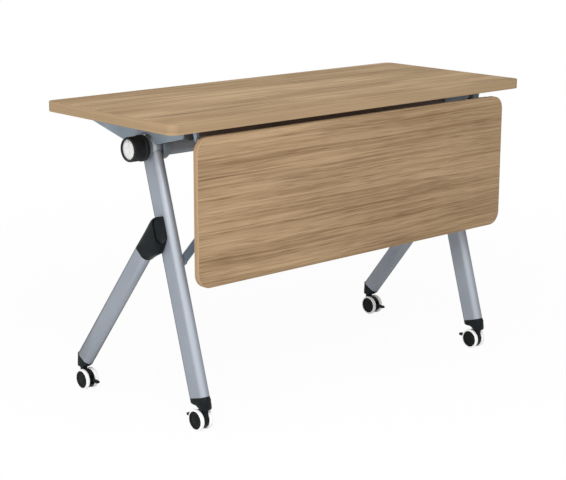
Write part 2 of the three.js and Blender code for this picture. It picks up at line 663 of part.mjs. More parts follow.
function boot(name, line, width, outline, stemY, x) {
  const half = LEG_THICKNESS / 2;
  const inside = BORE + 2 * SEAT_GAP;
  const plug = line.bar(LEG_THICKNESS - inside, width - inside, -BOOT_ROOT, BOOT_PLUG);
  const side = slab(outline, x - half, x + half);
  const { min, max } = side.boundingBox();
  const footprint = plate(flatOval(LEG_THICKNESS, max[1] - min[1]), 0, TABLE_HEIGHT);
  const body = side
    .intersect(line.bar(LEG_THICKNESS, width, -BOOT_PLUG - width, -SEAT_GAP))
    .intersect(footprint.translate([x, (min[1] + max[1]) / 2, 0]));
  const neck = rodZ(NECK_RADIUS, x, stemY, BOOT_BOTTOM - NECK_DROP, BOOT_BOTTOM + NECK_DROP);
  const bore = rodZ(STEM_RADIUS + RUNNING_GAP, x, stemY, 0, STEM_TOP + SEAT_GAP, SMALL_SIDES);
  return piece(name, cut(join(plug, body, neck), bore), "black");
}

function frontBoot(side) {
  const thin = FRONT_LINE.at(0, FRONT_LEG_WIDTH / 2);
  const lip = FRONT_LINE.at(-FRONT_BOOT_LIP, FRONT_LEG_WIDTH / 2);
  const toe = FRONT_LINE.at(0, -FRONT_LEG_WIDTH / 2);
  const toeY = toe.x - FRONT_BOOT_TOE;
  const heelY = FRONT_STEM_Y + NECK_RADIUS;
  const shape = new THREE.Shape();
  shape.moveTo(toe.x, toe.y);
  shape.lineTo(toeY, toe.y - BOOT_CHAMFER);
  shape.lineTo(toeY, BOOT_BOTTOM + BOOT_CHAMFER);
  shape.lineTo(toeY + BOOT_CHAMFER, BOOT_BOTTOM);
  shape.lineTo(heelY, BOOT_BOTTOM);
  shape.bezierCurveTo((heelY + lip.x) / 2, BOOT_BOTTOM, (heelY + lip.x) / 2, lip.y, lip.x, lip.y);
  shape.lineTo(thin.x, thin.y);
  shape.closePath();
  return boot(`front_boot_${side}`, FRONT_LINE, FRONT_LEG_WIDTH, shape, FRONT_STEM_Y, FRONT_LEG_X);
}

function rearBoot(side) {
  const thin = REAR_LINE.at(0, -REAR_LEG_WIDTH / 2);
  const lip = REAR_LINE.at(-REAR_BOOT_LIP, -REAR_LEG_WIDTH / 2);
  const heel = REAR_LINE.at(0, REAR_LEG_WIDTH / 2);
  const heelY = heel.x + REAR_BOOT_HEEL;
  const shape = polygon([
    [thin.x, thin.y],
    [lip.x, Math.max(lip.y, BOOT_BOTTOM)],
    [lip.x + BOOT_CHAMFER, BOOT_BOTTOM],
    [heelY - BOOT_CHAMFER, BOOT_BOTTOM],
    [heelY, BOOT_BOTTOM + BOOT_CHAMFER],
    [heelY, heel.y - REAR_BOOT_HEEL],
    [heel.x, heel.y],
  ]);
  return boot(`rear_boot_${side}`, REAR_LINE, REAR_LEG_WIDTH, shape, REAR_STEM_Y, REAR_LEG_X);
}

// Release rod, knobs and lock pins

function releaseRod() {
  const end = KNOB_BACK_X + KNOB_SOCKET - SEAT_GAP;
  return piece("release_rod", rodX(ROD_RADIUS, -end, end, PIVOT_Y, PIVOT_Z, HEX_SIDES), "steel");
}

function flutedOutline() {
  const count = KNOB_FLUTES * FLUTE_STEPS;
  const points = [];
  for (let i = 0; i < count; i++) {
    const angle = (2 * Math.PI * i) / count;
    const radius = KNOB_RADIUS - (KNOB_FLUTE_DEPTH / 2) * (1 - Math.cos(angle * KNOB_FLUTES));
    points.push([radius * Math.cos(angle), radius * Math.sin(angle)]);
  }
  return polygon(points);
}

function knob(side) {
  const shoulder = KNOB_FRONT_X - KNOB_CHAMFER;
  const core = KNOB_RADIUS - KNOB_FLUTE_DEPTH;
  const grip = slab(flutedOutline(), KNOB_BACK_X, shoulder);
  const face = turnedX([
    [0, KNOB_BACK_X],
    [core, KNOB_BACK_X],
    [core, shoulder],
    [core - KNOB_CHAMFER, KNOB_FRONT_X],
    [0, KNOB_FRONT_X],
  ], ROUND_SIDES);
  const collar = rodX(COLLAR_RADIUS, KNOB_BACK_X, KNOB_BACK_X + COLLAR_LENGTH, 0, 0);
  const socketEnd = KNOB_BACK_X + KNOB_SOCKET;
  const socket = rodX(ROD_RADIUS + SEAT_GAP, KNOB_BACK_X - OVERRUN, socketEnd, 0, 0, HEX_SIDES);
  const recess = rodX(DISC_RADIUS + SEAT_GAP, KNOB_FRONT_X - DISC_RECESS, KNOB_FRONT_X + OVERRUN, 0, 0);
  const solid = cut(join(face, grip, collar), socket, recess, pinGroove());
  const mesh = piece(`knob_${side}`, solid, "black");
  mesh.position.set(0, PIVOT_Y, PIVOT_Z);
  return mesh;
}

// Ring behind the knob that takes the outer end of the drawn lock pin at every turn of the knob
function pinGroove() {
  const room = PIN_RADIUS + SIDE_GAP;
  const start = KNOB_BACK_X - OVERRUN;
  const end = KNOB_BACK_X + PIN_TRAVEL + SIDE_GAP;
  return turnedX([
    [PIN_ORBIT - room, start],
    [PIN_ORBIT + room, start],
    [PIN_ORBIT + room, end],
    [PIN_ORBIT - room, end],
    [PIN_ORBIT - room, start],
  ], ROUND_SIDES);
}

function knobDisc(side) {
  const back = KNOB_FRONT_X - DISC_RECESS + SEAT_GAP;
  const mesh = piece(`knob_disc_${side}`, rodX(DISC_RADIUS, back, back + DISC_THICKNESS, 0, 0), "white");
  mesh.position.set(0, PIVOT_Y, PIVOT_Z);
  return mesh;
}

function lockPin(side) {
  const mesh = piece(
    `lock_pin_${side}`,
    rodX(PIN_RADIUS, HEAD_INNER_X, KNOB_BACK_X + PIN_TRAVEL, 0, 0, SMALL_SIDES),
    "steel",
  );
  mesh.position.set(0, PIVOT_Y, PIVOT_Z - PIN_ORBIT);
  return mesh;
}

// Casters, drawn about the swivel axis with the wheels trailing towards +Y

function casterFork() {
  const half = FORK_WIDTH / 2;
  const top = BOOT_BOTTOM - NECK_DROP - SEAT_GAP;
  const hood = rodX(FORK_RADIUS, -half, half, TRAIL, WHEEL_RADIUS);
  const neck = block(-half, half, -FORK_NECK / 2, FORK_NECK / 2, WHEEL_RADIUS, top);
  const stem = rodZ(STEM_RADIUS, 0, 0, WHEEL_RADIUS, STEM_TOP, SMALL_SIDES);
  const reach = half + SIDE_GAP + WHEEL_WIDTH - HUB_CAP - SEAT_GAP;
  const axle = rodX(AXLE_RADIUS, -reach, reach, TRAIL, WHEEL_RADIUS, SMALL_SIDES);
  const leverY = TRAIL + LEVER_PIVOT_OUT;
  const leverZ = WHEEL_RADIUS + LEVER_PIVOT_UP;
  const slotHalf = LEVER_WIDTH / 2 + RUNNING_GAP;
  const slotStart = TRAIL + LEVER_SLOT_START;
  const slotEnd = TRAIL + 2 * FORK_RADIUS;
  const slot = block(
    -slotHalf, slotHalf, slotStart, slotEnd, leverZ - LEVER_SLOT_HALF, leverZ + LEVER_SLOT_HALF,
  );
  const pin = rodX(LEVER_PIN_RADIUS, -half, half, leverY, leverZ, SMALL_SIDES);
  return join(cut(join(hood, neck), slot), stem, axle, pin);
}

function brakeLever() {
  const radius = LEVER_THICKNESS / 2;
  const shape = new THREE.Shape();
  shape.absarc(LEVER_REACH - radius, 0, radius, -Math.PI / 2, Math.PI / 2);
  shape.absarc(radius - LEVER_TAIL, 0, radius, Math.PI / 2, 1.5 * Math.PI);
  shape.closePath();
  const half = LEVER_WIDTH / 2;
  const bore = rodX(LEVER_PIN_RADIUS + RUNNING_GAP, -LEVER_WIDTH, LEVER_WIDTH, 0, 0, SMALL_SIDES);
  return cut(slab(shape, -half, half), bore);
}

// One wheel beside the fork: a hub with a blind bore, and a tyre with a crowned tread
function wheelSolids() {
  const x0 = FORK_WIDTH / 2 + SIDE_GAP;
  const x1 = x0 + WHEEL_WIDTH;
  const seat = WHEEL_RADIUS - TREAD;
  const bore = AXLE_RADIUS + RUNNING_GAP;
  const rim = seat - SEAT_GAP;
  const hub = turnedX([
    [bore, x0],
    [rim, x0],
    [rim, x1],
    [rim - HUB_RIM, x1],
    [rim - HUB_RIM - HUB_DISH, x1 - HUB_DISH],
    [0, x1 - HUB_DISH],
    [0, x1 - HUB_CAP],
    [bore, x1 - HUB_CAP],
    [bore, x0],
  ], WHEEL_SIDES);
  const tyre = turnedX([
    [seat, x0],
    [WHEEL_RADIUS - TREAD_CROWN, x0],
    [WHEEL_RADIUS, x0 + 2 * TREAD_CROWN],
    [WHEEL_RADIUS, x1 - 2 * TREAD_CROWN],
    [WHEEL_RADIUS - TREAD_CROWN, x1],
    [seat, x1],
    [seat, x0],
  ], WHEEL_SIDES);
  return { hub, tyre };
}

function caster(place) {
  const group = new THREE.Group();
  group.add(piece(`caster_fork_${place}`, casterFork(), "black"));
  const lever = piece(`brake_lever_${place}`, brakeLever(), "black");
  lever.position.set(0, TRAIL + LEVER_PIVOT_OUT, WHEEL_RADIUS + LEVER_PIVOT_UP);
  group.add(lever);
  const { hub, tyre } = wheelSolids();
  for (const [which, turn] of [["a", 0], ["b", Math.PI]]) {
    const wheel = new THREE.Group();
    wheel.position.set(0, TRAIL, WHEEL_RADIUS);
    wheel.rotation.z = turn;
    wheel.add(piece(`wheel_hub_${place}_${which}`, hub, "black"));
    wheel.add(piece(`tyre_${place}_${which}`, tyre, "white"));
    group.add(wheel);
  }
  return group;
}

// One end of the table, drawn at +X

function tableEnd(side) {
  const group = new THREE.Group();
  const makers = [
    frontLeg, rearLeg, legHead, legBolt, legJoint, brace, frontBoot, rearBoot,
    flipBracket, panelHanger, panelHinge, knob, knobDisc, lockPin,
  ];
  makers.forEach((make) => group.add(make(side)));
  const front = caster(`front_${side}`);
  front.position.set(FRONT_LEG_X, FRONT_STEM_Y, 0);
  const rear = caster(`rear_${side}`);
  rear.position.set(REAR_LEG_X, REAR_STEM_Y, 0);
  rear.rotation.z = Math.PI;
  group.add(front, rear);
  return group;
}

const table = new THREE.Group();
table.add(tableTop(), frontPanel(), stretcher(), crossBeam(), releaseRod());
const rightEnd = tableEnd("right");
const leftEnd = tableEnd("left");
leftEnd.scale.x = -1;
table.add(rightEnd, leftEnd);

export default table;
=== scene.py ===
"""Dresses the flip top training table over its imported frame.

Boards, tubes, castings, knobs and casters are modelled finely where the frame's solids are,
each with its own finish, and stand in a plain studio seen from the front left corner.
"""

import logging
import math
from collections.abc import Callable, Sequence
from dataclasses import dataclass
from enum import Enum

import bmesh
import bpy
from mathutils import Matrix, Vector


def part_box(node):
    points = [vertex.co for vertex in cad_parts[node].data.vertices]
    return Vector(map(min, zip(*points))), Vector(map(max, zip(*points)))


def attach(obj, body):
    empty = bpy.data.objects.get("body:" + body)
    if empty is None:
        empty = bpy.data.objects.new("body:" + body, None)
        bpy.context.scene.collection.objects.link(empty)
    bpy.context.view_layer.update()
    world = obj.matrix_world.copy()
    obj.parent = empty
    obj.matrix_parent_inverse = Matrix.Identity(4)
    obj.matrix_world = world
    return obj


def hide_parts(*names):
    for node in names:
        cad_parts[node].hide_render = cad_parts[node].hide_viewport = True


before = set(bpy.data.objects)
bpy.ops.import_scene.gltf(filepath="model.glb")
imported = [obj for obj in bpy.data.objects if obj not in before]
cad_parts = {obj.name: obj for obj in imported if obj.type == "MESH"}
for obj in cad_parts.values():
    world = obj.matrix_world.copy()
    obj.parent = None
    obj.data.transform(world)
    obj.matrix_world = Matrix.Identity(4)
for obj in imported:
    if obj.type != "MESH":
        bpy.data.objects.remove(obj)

log = logging.getLogger("training_table")

Colour = tuple[float, float, float, float]
Point = tuple[float, float]
Edges = list[bmesh.types.BMEdge]

MM = 0.001


class Side(Enum):
    """The two ends of the table."""

    LEFT = -1
    RIGHT = 1

    @property
    def label(self) -> str:
        """The side's name as it stands in node names."""
        return self.name.lower()


class GrainRun(Enum):
    """Which way the wood grain runs on a board's surface."""

    FACE = "along the board"
    LYING_EDGE = "along the edge of a lying board"
    STANDING_EDGE = "along the edge of a standing board"


def seen(red: int, green: int, blue: int) -> Colour:
    """Gives the linear value of a colour as the eye sees it.

    Args:
        red: Red from 0 to 255.
        green: Green from 0 to 255.
        blue: Blue from 0 to 255.

    Returns:
        The linear colour with full alpha.
    """
    parts = [part / 255 for part in (red, green, blue)]
    linear = [p / 12.92 if p <= 0.04045 else ((p + 0.055) / 1.055) ** 2.4 for p in parts]
    return (linear[0], linear[1], linear[2], 1.0)


class NodeBench:
    """Adds nodes to one tree and joins their sockets."""

    def __init__(self, tree: bpy.types.NodeTree) -> None:
        """Takes the tree that the nodes go into."""
        self.tree = tree

    def add(self, kind: str, feeds: dict | None = None, **settings: object) -> bpy.types.Node:
        """Adds a node.

        Args:
            kind: The node's type, without the prefix that shader nodes share.
            feeds: What goes into its inputs, by name or number: a socket or a plain value.
            settings: Properties of the node itself.

        Returns:
            The new node.
        """
        prefix = "" if kind.startswith("NodeGroup") else "ShaderNode"
        node = self.tree.nodes.new(prefix + kind)
        for name, value in settings.items():
            setattr(node, name, value)
        for name, value in (feeds or {}).items():
            self.feed(node.inputs[name], value)
        return node

    def feed(self, socket: bpy.types.NodeSocket, value: object) -> None:
        """Links a socket to an input, or sets the input's plain value.

        Args:
            socket: The input.
            value: An output socket, or a value.
        """
        if isinstance(value, bpy.types.NodeSocket):
            self.tree.links.new(value, socket)
        else:
            socket.default_value = value

    def math(self, operation: str, first: object, second: object = 0.0) -> bpy.types.NodeSocket:
        """Adds a math node and gives its result.

        Args:
            operation: The operation's name.
            first: A socket or number.
            second: A socket or number.

        Returns:
            The result's socket.
        """
        return self.add("Math", {0: first, 1: second}, operation=operation).outputs[0]

    def vector_math(self, operation: str, *values: object) -> bpy.types.Node:
        """Adds a vector math node fed with the values in turn."""
        return self.add("VectorMath", dict(enumerate(values)), operation=operation)

    def span(self, value: object, low: float, high: float, to_low: float = 0.0, to_high: float = 1.0
             ) -> bpy.types.NodeSocket:
        """Maps one range of a value onto another, clamped.

        Args:
            value: The socket to map.
            low: Start of its range.
            high: End of its range.
            to_low: What the start becomes.
            to_high: What the end becomes.

        Returns:
            The mapped value's socket.
        """
        feeds = {"Value": value, "From Min": low, "From Max": high, "To Min": to_low, "To Max": to_high}
        return self.add("MapRange", feeds).outputs["Result"]

    def mix(self, share: object, first: object, second: object) -> bpy.types.NodeSocket:
        """Mixes two colours.

        Args:
            share: Share of the second colour.
            first: A socket or colour.
            second: A socket or colour.

        Returns:
            The mixed colour's socket.
        """
        return self.add("Mix", {0: share, 6: first, 7: second}, data_type="RGBA").outputs[2]

    def noise(self, vector: object, stretch: Sequence[float], detail: float = 2.0) -> bpy.types.Node:
        """Adds a noise texture that is stretched along the axes.

        Args:
            vector: The coordinates.
            stretch: Waves per metre along x, y and z.
            detail: Octaves of finer noise.

        Returns:
            The noise node.
        """
        place = self.vector_math("MULTIPLY", vector, tuple(stretch)).outputs[0]
        return self.add("TexNoise", {"Vector": place, "Scale": 1.0, "Detail": detail})


def new_group(name: str, takes: dict[str, str], gives: dict[str, str]) -> tuple[NodeBench, dict, bpy.types.Node]:
    """Starts a shader node group.

    Args:
        name: The group's name.
        takes: Its inputs, name to kind of socket.
        gives: Its outputs, name to kind of socket.

    Returns:
        A bench on the group's tree, its input sockets by name, and its output node.
    """
    tree = bpy.data.node_groups.new(name, "ShaderNodeTree")
    for direction, sockets in (("INPUT", takes), ("OUTPUT", gives)):
        for socket, kind in sockets.items():
            tree.interface.new_socket(name=socket, in_out=direction, socket_type="NodeSocket" + kind)
    bench = NodeBench(tree)
    return bench, dict(bench.add("NodeGroupInput").outputs.items()), bench.add("NodeGroupOutput")


def wood_figure() -> bpy.types.NodeTree:
    """Gives the group that draws the boards' wood figure, and builds it at the first call.

    Returns:
        The group, with the grain along the x of its vector.
    """
    if "wood_figure" in bpy.data.node_groups:
        return bpy.data.node_groups["wood_figure"]
    bench, takes, gives = new_group(
        "wood_figure",
        {"Vector": "Vector", "Pale": "Color", "Brown": "Color", "Dark": "Color", "Figure": "Float"},
        {"Colour": "Color", "Relief": "Float"},
    )
    vector = takes["Vector"]
    drift = bench.noise(vector, (1.3, 5.0, 5.0)).outputs["Color"]
    centred = bench.vector_math("SUBTRACT", drift, (0.5, 0.5, 0.5)).outputs[0]
    wavy = bench.vector_math("MULTIPLY_ADD", centred, (0.0, 0.018, 0.018), vector).outputs[0]
    parts = bench.add("SeparateXYZ", {0: wavy}).outputs
    across = bench.math("ADD", parts["Y"], parts["Z"])
    flat = bench.add("CombineXYZ", {"X": parts["X"], "Y": across}).outputs[0]

    patches = bench.span(bench.noise(flat, (1.3, 7.0, 1.0), 2.0).outputs["Fac"], 0.36, 0.64)
    bands = bench.span(bench.noise(flat, (0.9, 40.0, 1.0), 2.0).outputs["Fac"], 0.36, 0.64)
    lines = bench.span(bench.noise(flat, (2.0, 180.0, 1.0), 4.0).outputs["Fac"], 0.36, 0.64)
    fibre = bench.noise(flat, (14.0, 700.0, 1.0), 2.0).outputs["Fac"]
    heart = bench.span(bench.noise(flat, (1.5, 11.0, 1.0), 1.0).outputs["Fac"], 0.54, 0.66)
    streaks = bench.span(bench.noise(flat, (2.6, 120.0, 1.0), 3.0).outputs["Fac"], 0.5, 0.64)

    pores = bench.span(bench.noise(flat, (10.0, 330.0, 1.0), 1.0).outputs["Fac"], 0.57, 0.72, 0.0, 0.42)

    tone = bench.math("MULTIPLY", lines, 0.44)
    tone = bench.math("ADD", tone, bench.math("MULTIPLY", bands, 0.24))
    tone = bench.math("ADD", tone, bench.math("MULTIPLY", patches, 0.32))
    tone = bench.math("ADD", tone, bench.span(fibre, 0.3, 0.7, -0.16, 0.16))
    ground = bench.mix(tone, takes["Pale"], takes["Brown"])
    marks = bench.math("MULTIPLY", bench.math("MAXIMUM", bench.math("MULTIPLY", streaks, heart), pores), takes["Figure"])
    bench.feed(gives.inputs["Colour"], bench.mix(marks, ground, takes["Dark"]))
    bench.feed(gives.inputs["Relief"], bench.math("SUBTRACT", fibre, bench.math("MULTIPLY", lines, 0.5)))
    return bench.tree


def surface_grain() -> bpy.types.NodeTree:
    """Gives the group for the fine skin of paint, plastic and metal, and builds it at the first call.

    Returns:
        The group: Relief is the fine skin, Drift a slow change over the piece.
    """
    if "surface_grain" in bpy.data.node_groups:
        return bpy.data.node_groups["surface_grain"]
    bench, takes, gives = new_group(
        "surface_grain",
        {"Vector": "Vector", "Fine": "Float", "Slow": "Float"},
        {"Relief": "Float", "Drift": "Float"},
    )
    for scale, detail, output in (("Fine", 2.0, "Relief"), ("Slow", 3.0, "Drift")):
        feeds = {"Vector": takes["Vector"], "Scale": takes[scale], "Detail": detail}
        bench.feed(gives.inputs[output], bench.add("TexNoise", feeds).outputs["Fac"])
    return bench.tree


@dataclass(frozen=True)
class Finish:
    """What all finishes share: a name and the record's slot."""

    name: str
    slot: str

    def material(self) -> bpy.types.Material:
        """Gives the finish's material, made at the first call."""
        made = bpy.data.materials.get(self.name)
        return made or self.make()

    def make(self) -> bpy.types.Material:
        """Builds the material.

        Returns:
            The new material.
        """
        material = bpy.data.materials.new(self.name)
        material.use_nodes = True
        bench = NodeBench(material.node_tree)
        shader = material.node_tree.nodes["Principled BSDF"]
        self.dress(bench, shader, bench.add("TexCoord").outputs["Object"])
        return material

    def dress(self, bench: NodeBench, shader: bpy.types.Node, place: bpy.types.NodeSocket) -> None:
        """Feeds the shader; each kind of finish has its own way.

        Args:
            bench: Where nodes are added.
            shader: The material's shader.
            place: Object coordinates.
        """
        raise NotImplementedError

    @staticmethod
    def relief(bench: NodeBench, shader: bpy.types.Node, height: object, strength: float, depth: float) -> None:
        """Puts a bump on the shader.

        Args:
            bench: Where the bump node is added.
            shader: The material's shader.
            height: The height's socket.
            strength: Share of the bump.
            depth: Depth in metres.
        """
        bump = bench.add("Bump", {"Height": height, "Strength": strength, "Distance": depth})
        bench.feed(shader.inputs["Normal"], bump.outputs["Normal"])


@dataclass(frozen=True)
class WoodDecor(Finish):
    """Printed wood laminate, satin, with pores pressed into it."""

    run: GrainRun = GrainRun.FACE
    pale: Colour = seen(208, 180, 143)
    brown: Colour = seen(132, 104, 70)
    dark: Colour = seen(90, 65, 43)
    figure: float = 0.75

    def dress(self, bench: NodeBench, shader: bpy.types.Node, place: bpy.types.NodeSocket) -> None:
        """Lays the wood figure along the board or along its edge; see Finish."""
        parts = bench.add("SeparateXYZ", {0: place}).outputs
        if self.run is GrainRun.LYING_EDGE:
            along = bench.math("ADD", parts["X"], parts["Y"])
            place = bench.add("CombineXYZ", {"X": along, "Y": parts["Z"]}).outputs[0]
        elif self.run is GrainRun.STANDING_EDGE:
            along = bench.math("ADD", parts["X"], parts["Z"])
            place = bench.add("CombineXYZ", {"X": along, "Y": parts["Y"]}).outputs[0]
        figure = bench.add("Group", {
            "Vector": place, "Pale": self.pale, "Brown": self.brown, "Dark": self.dark, "Figure": self.figure,
        }, node_tree=wood_figure())
        bench.feed(shader.inputs["Base Color"], figure.outputs["Colour"])
        bench.feed(shader.inputs["Roughness"], bench.span(figure.outputs["Relief"], 0.0, 1.0, 0.66, 0.56))
        shader.inputs["Specular IOR Level"].default_value = 0.04
        self.relief(bench, shader, figure.outputs["Relief"], 0.25, 0.0001)


@dataclass(frozen=True)
class Skin(Finish):
    """Paint, plastic, rubber or metal with a fine skin, a slow change of tone, and, where lit and rim are given, a
    painted highlight face-on and painted shade at the grazing rim.
    """

    pale: Colour = seen(200, 200, 200)
    deep: Colour = seen(190, 190, 190)
    metallic: float = 0.0
    rough: float = 0.4
    spread: float = 0.1
    fine: float = 900.0
    slow: float = 12.0
    bump: float = 0.2
    depth: float = 0.0001
    gloss: float = 0.5
    # lit is a painted highlight colour where the surface faces the eye; rim is a painted shade colour where it turns
    # away.
    lit: Colour | None = None
    rim: Colour | None = None

    def dress(self, bench: NodeBench, shader: bpy.types.Node, place: bpy.types.NodeSocket) -> None:
        """Varies colour and gloss slowly, adds the fine skin, and where given paints a highlight face-on and shade
        along the grazing rim; see Finish.
        """
        skin = bench.add("Group", {"Vector": place, "Fine": self.fine, "Slow": self.slow}, node_tree=surface_grain())
        drift = bench.span(skin.outputs["Drift"], 0.3, 0.7)
        tone = bench.mix(drift, self.pale, self.deep)
        if self.lit and self.rim:
            # Painted light: the highlight colour face-on, blending into the painted shade colour along the grazing
            # rim.
            turned = bench.add("LayerWeight", {"Blend": 0.5}).outputs["Facing"]
            tone = bench.mix(bench.span(turned, 0.02, 0.26), self.lit, tone)
            tone = bench.mix(bench.span(turned, 0.5, 0.78), tone, self.rim)
        bench.feed(shader.inputs["Base Color"], tone)
        half = self.spread / 2
        bench.feed(shader.inputs["Roughness"], bench.span(drift, 0.0, 1.0, self.rough - half, self.rough + half))
        shader.inputs["Metallic"].default_value = self.metallic
        shader.inputs["Specular IOR Level"].default_value = self.gloss
        self.relief(bench, shader, skin.outputs["Relief"], self.bump, self.depth)


@dataclass(frozen=True)
class DialFace(Finish):
    """The knob's white disc with three plain dots and a thin ring."""

    white: Colour = seen(222, 222, 221)
    grey: Colour = seen(120, 122, 126)
    centre: Point = (-0.030, 0.661)
    dots: tuple[tuple[float, float, float], ...] = (
        (0.0, 0.0185, 0.0017), (-0.0085, 0.0165, 0.0011), (0.0085, 0.0165, 0.0011),
    )
    ring: float = 0.0225

    def dress(self, bench: NodeBench, shader: bpy.types.Node, place: bpy.types.NodeSocket) -> None:
        """Draws the dots and the ring round the disc's centre; see Finish."""
        parts = bench.add("SeparateXYZ", {0: place}).outputs
        flat = bench.add("CombineXYZ", {
            "X": bench.math("SUBTRACT", parts["Y"], self.centre[0]),
            "Y": bench.math("SUBTRACT", parts["Z"], self.centre[1]),
        }).outputs[0]
        reach = bench.vector_math("LENGTH", flat).outputs["Value"]
        off_ring = bench.math("ABSOLUTE", bench.math("SUBTRACT", reach, self.ring))
        marks = bench.span(off_ring, 0.0002, 0.0005, 0.35, 0.0)
        for y, z, size in self.dots:
            away = bench.vector_math("DISTANCE", flat, (y, z, 0.0)).outputs["Value"]
            marks = bench.math("MAXIMUM", marks, bench.span(away, size, size * 1.3, 0.9, 0.0))
        skin = bench.add("Group", {"Vector": place, "Fine": 1500.0, "Slow": 220.0}, node_tree=surface_grain())
        faint = bench.span(skin.outputs["Drift"], 0.36, 0.66, 0.0, 0.26)
        bench.feed(shader.inputs["Base Color"], bench.mix(bench.math("MAXIMUM", marks, faint), self.white, self.grey))
        bench.feed(shader.inputs["Roughness"], bench.span(skin.outputs["Drift"], 0.3, 0.7, 0.32, 0.42))
        self.relief(bench, shader, skin.outputs["Relief"], 0.1, 0.00005)


TOP_WOOD = WoodDecor("oak_decor_top", "wood")
TOP_EDGE_WOOD = WoodDecor(
    "oak_decor_top_edge", "wood", run=GrainRun.LYING_EDGE, pale=seen(168, 144, 114), brown=seen(152, 128, 99),
    figure=0.2)
PANEL_WOOD = WoodDecor(
    "oak_decor_panel", "wood", pale=seen(179, 153, 121), brown=seen(121, 95, 68), dark=seen(84, 60, 42), figure=0.95)
PANEL_EDGE_WOOD = WoodDecor(
    "oak_decor_panel_edge", "wood", run=GrainRun.STANDING_EDGE, pale=seen(174, 148, 117), brown=seen(150, 123, 94),
    figure=0.2)
# The tube paint and the cast paint carry a painted highlight (lit) and painted rim shade (rim).
SILVER_PAINT = Skin(
    "silver_tube_paint", "silver_tube", pale=seen(142, 148, 157), deep=seen(135, 141, 150),
    metallic=0.1, rough=0.36, spread=0.06, fine=1400.0, slow=7.0, bump=0.12, depth=0.00008, gloss=0.24,
    lit=seen(166, 172, 181), rim=seen(34, 40, 50))
SILVER_CAST = Skin(
    "silver_casting_paint", "silver_casting", pale=seen(149, 155, 164), deep=seen(138, 144, 153),
    metallic=0.1, rough=0.32, spread=0.08, fine=900.0, slow=25.0, bump=0.15, gloss=0.35,
    lit=seen(196, 202, 212), rim=seen(70, 76, 86))
GREY_CAST = Skin(
    "grey_casting_paint", "grey_casting", pale=seen(146, 158, 169), deep=seen(131, 143, 154),
    metallic=0.1, rough=0.5, fine=800.0, slow=20.0, bump=0.25, gloss=0.15)
GREY_STEEL = Skin(
    "grey_pressed_steel", "grey_steel", pale=seen(160, 176, 194), deep=seen(146, 162, 180),
    metallic=0.15, rough=0.4, fine=1100.0, slow=30.0, gloss=0.3)
# Painted shade: the brace wears a darker, bluer copy of the silver tube paint, standing in for the shade that it lies
# in.
BRACE_PAINTED_SHADE = Skin(
    "silver_tube_painted_shade", "silver_tube", pale=seen(122, 137, 152), deep=seen(108, 123, 138),
    metallic=0.1, rough=0.4, fine=1400.0, slow=12.0, gloss=0.2)
BLACK_STEEL = Skin(
    "black_tube_paint", "black_steel", pale=seen(104, 93, 87), deep=seen(94, 84, 79),
    rough=0.5, fine=1100.0, slow=9.0, gloss=0.12)
BARE_STEEL = Skin(
    "turned_steel", "bare_steel", pale=seen(176, 176, 178), deep=seen(150, 150, 153),
    metallic=1.0, rough=0.30, fine=1600.0, slow=90.0)
BLACK_PLASTIC = Skin(
    "black_moulding", "black_plastic", pale=seen(28, 32, 34), deep=seen(20, 24, 26),
    rough=0.4, spread=0.12, fine=1700.0, slow=30.0, bump=0.22, gloss=0.07)
KNOB_PLASTIC = Skin(
    "black_knob_moulding", "black_plastic", pale=seen(40, 42, 44), deep=seen(31, 33, 35),
    rough=0.42, fine=1700.0, slow=30.0, bump=0.2, gloss=0.14)
GREY_PLASTIC = Skin(
    "dark_grey_moulding", "black_plastic", pale=seen(86, 90, 91), deep=seen(74, 78, 79),
    rough=0.5, fine=1700.0, slow=30.0, bump=0.2, gloss=0.06)
HUB_PLASTIC = Skin(
    "black_hub_moulding", "black_plastic", pale=seen(18, 20, 20), deep=seen(13, 15, 15),
    rough=0.36, spread=0.1, fine=2200.0, slow=60.0, bump=0.15, gloss=0.08)
WHITE_TREAD = Skin(
    "white_tread", "white_tread", pale=seen(222, 224, 226), deep=seen(208, 210, 213),
    rough=0.6, spread=0.1, fine=1500.0, slow=45.0, bump=0.2, gloss=0.2)
DIAL = DialFace("white_dial", "white_plastic")


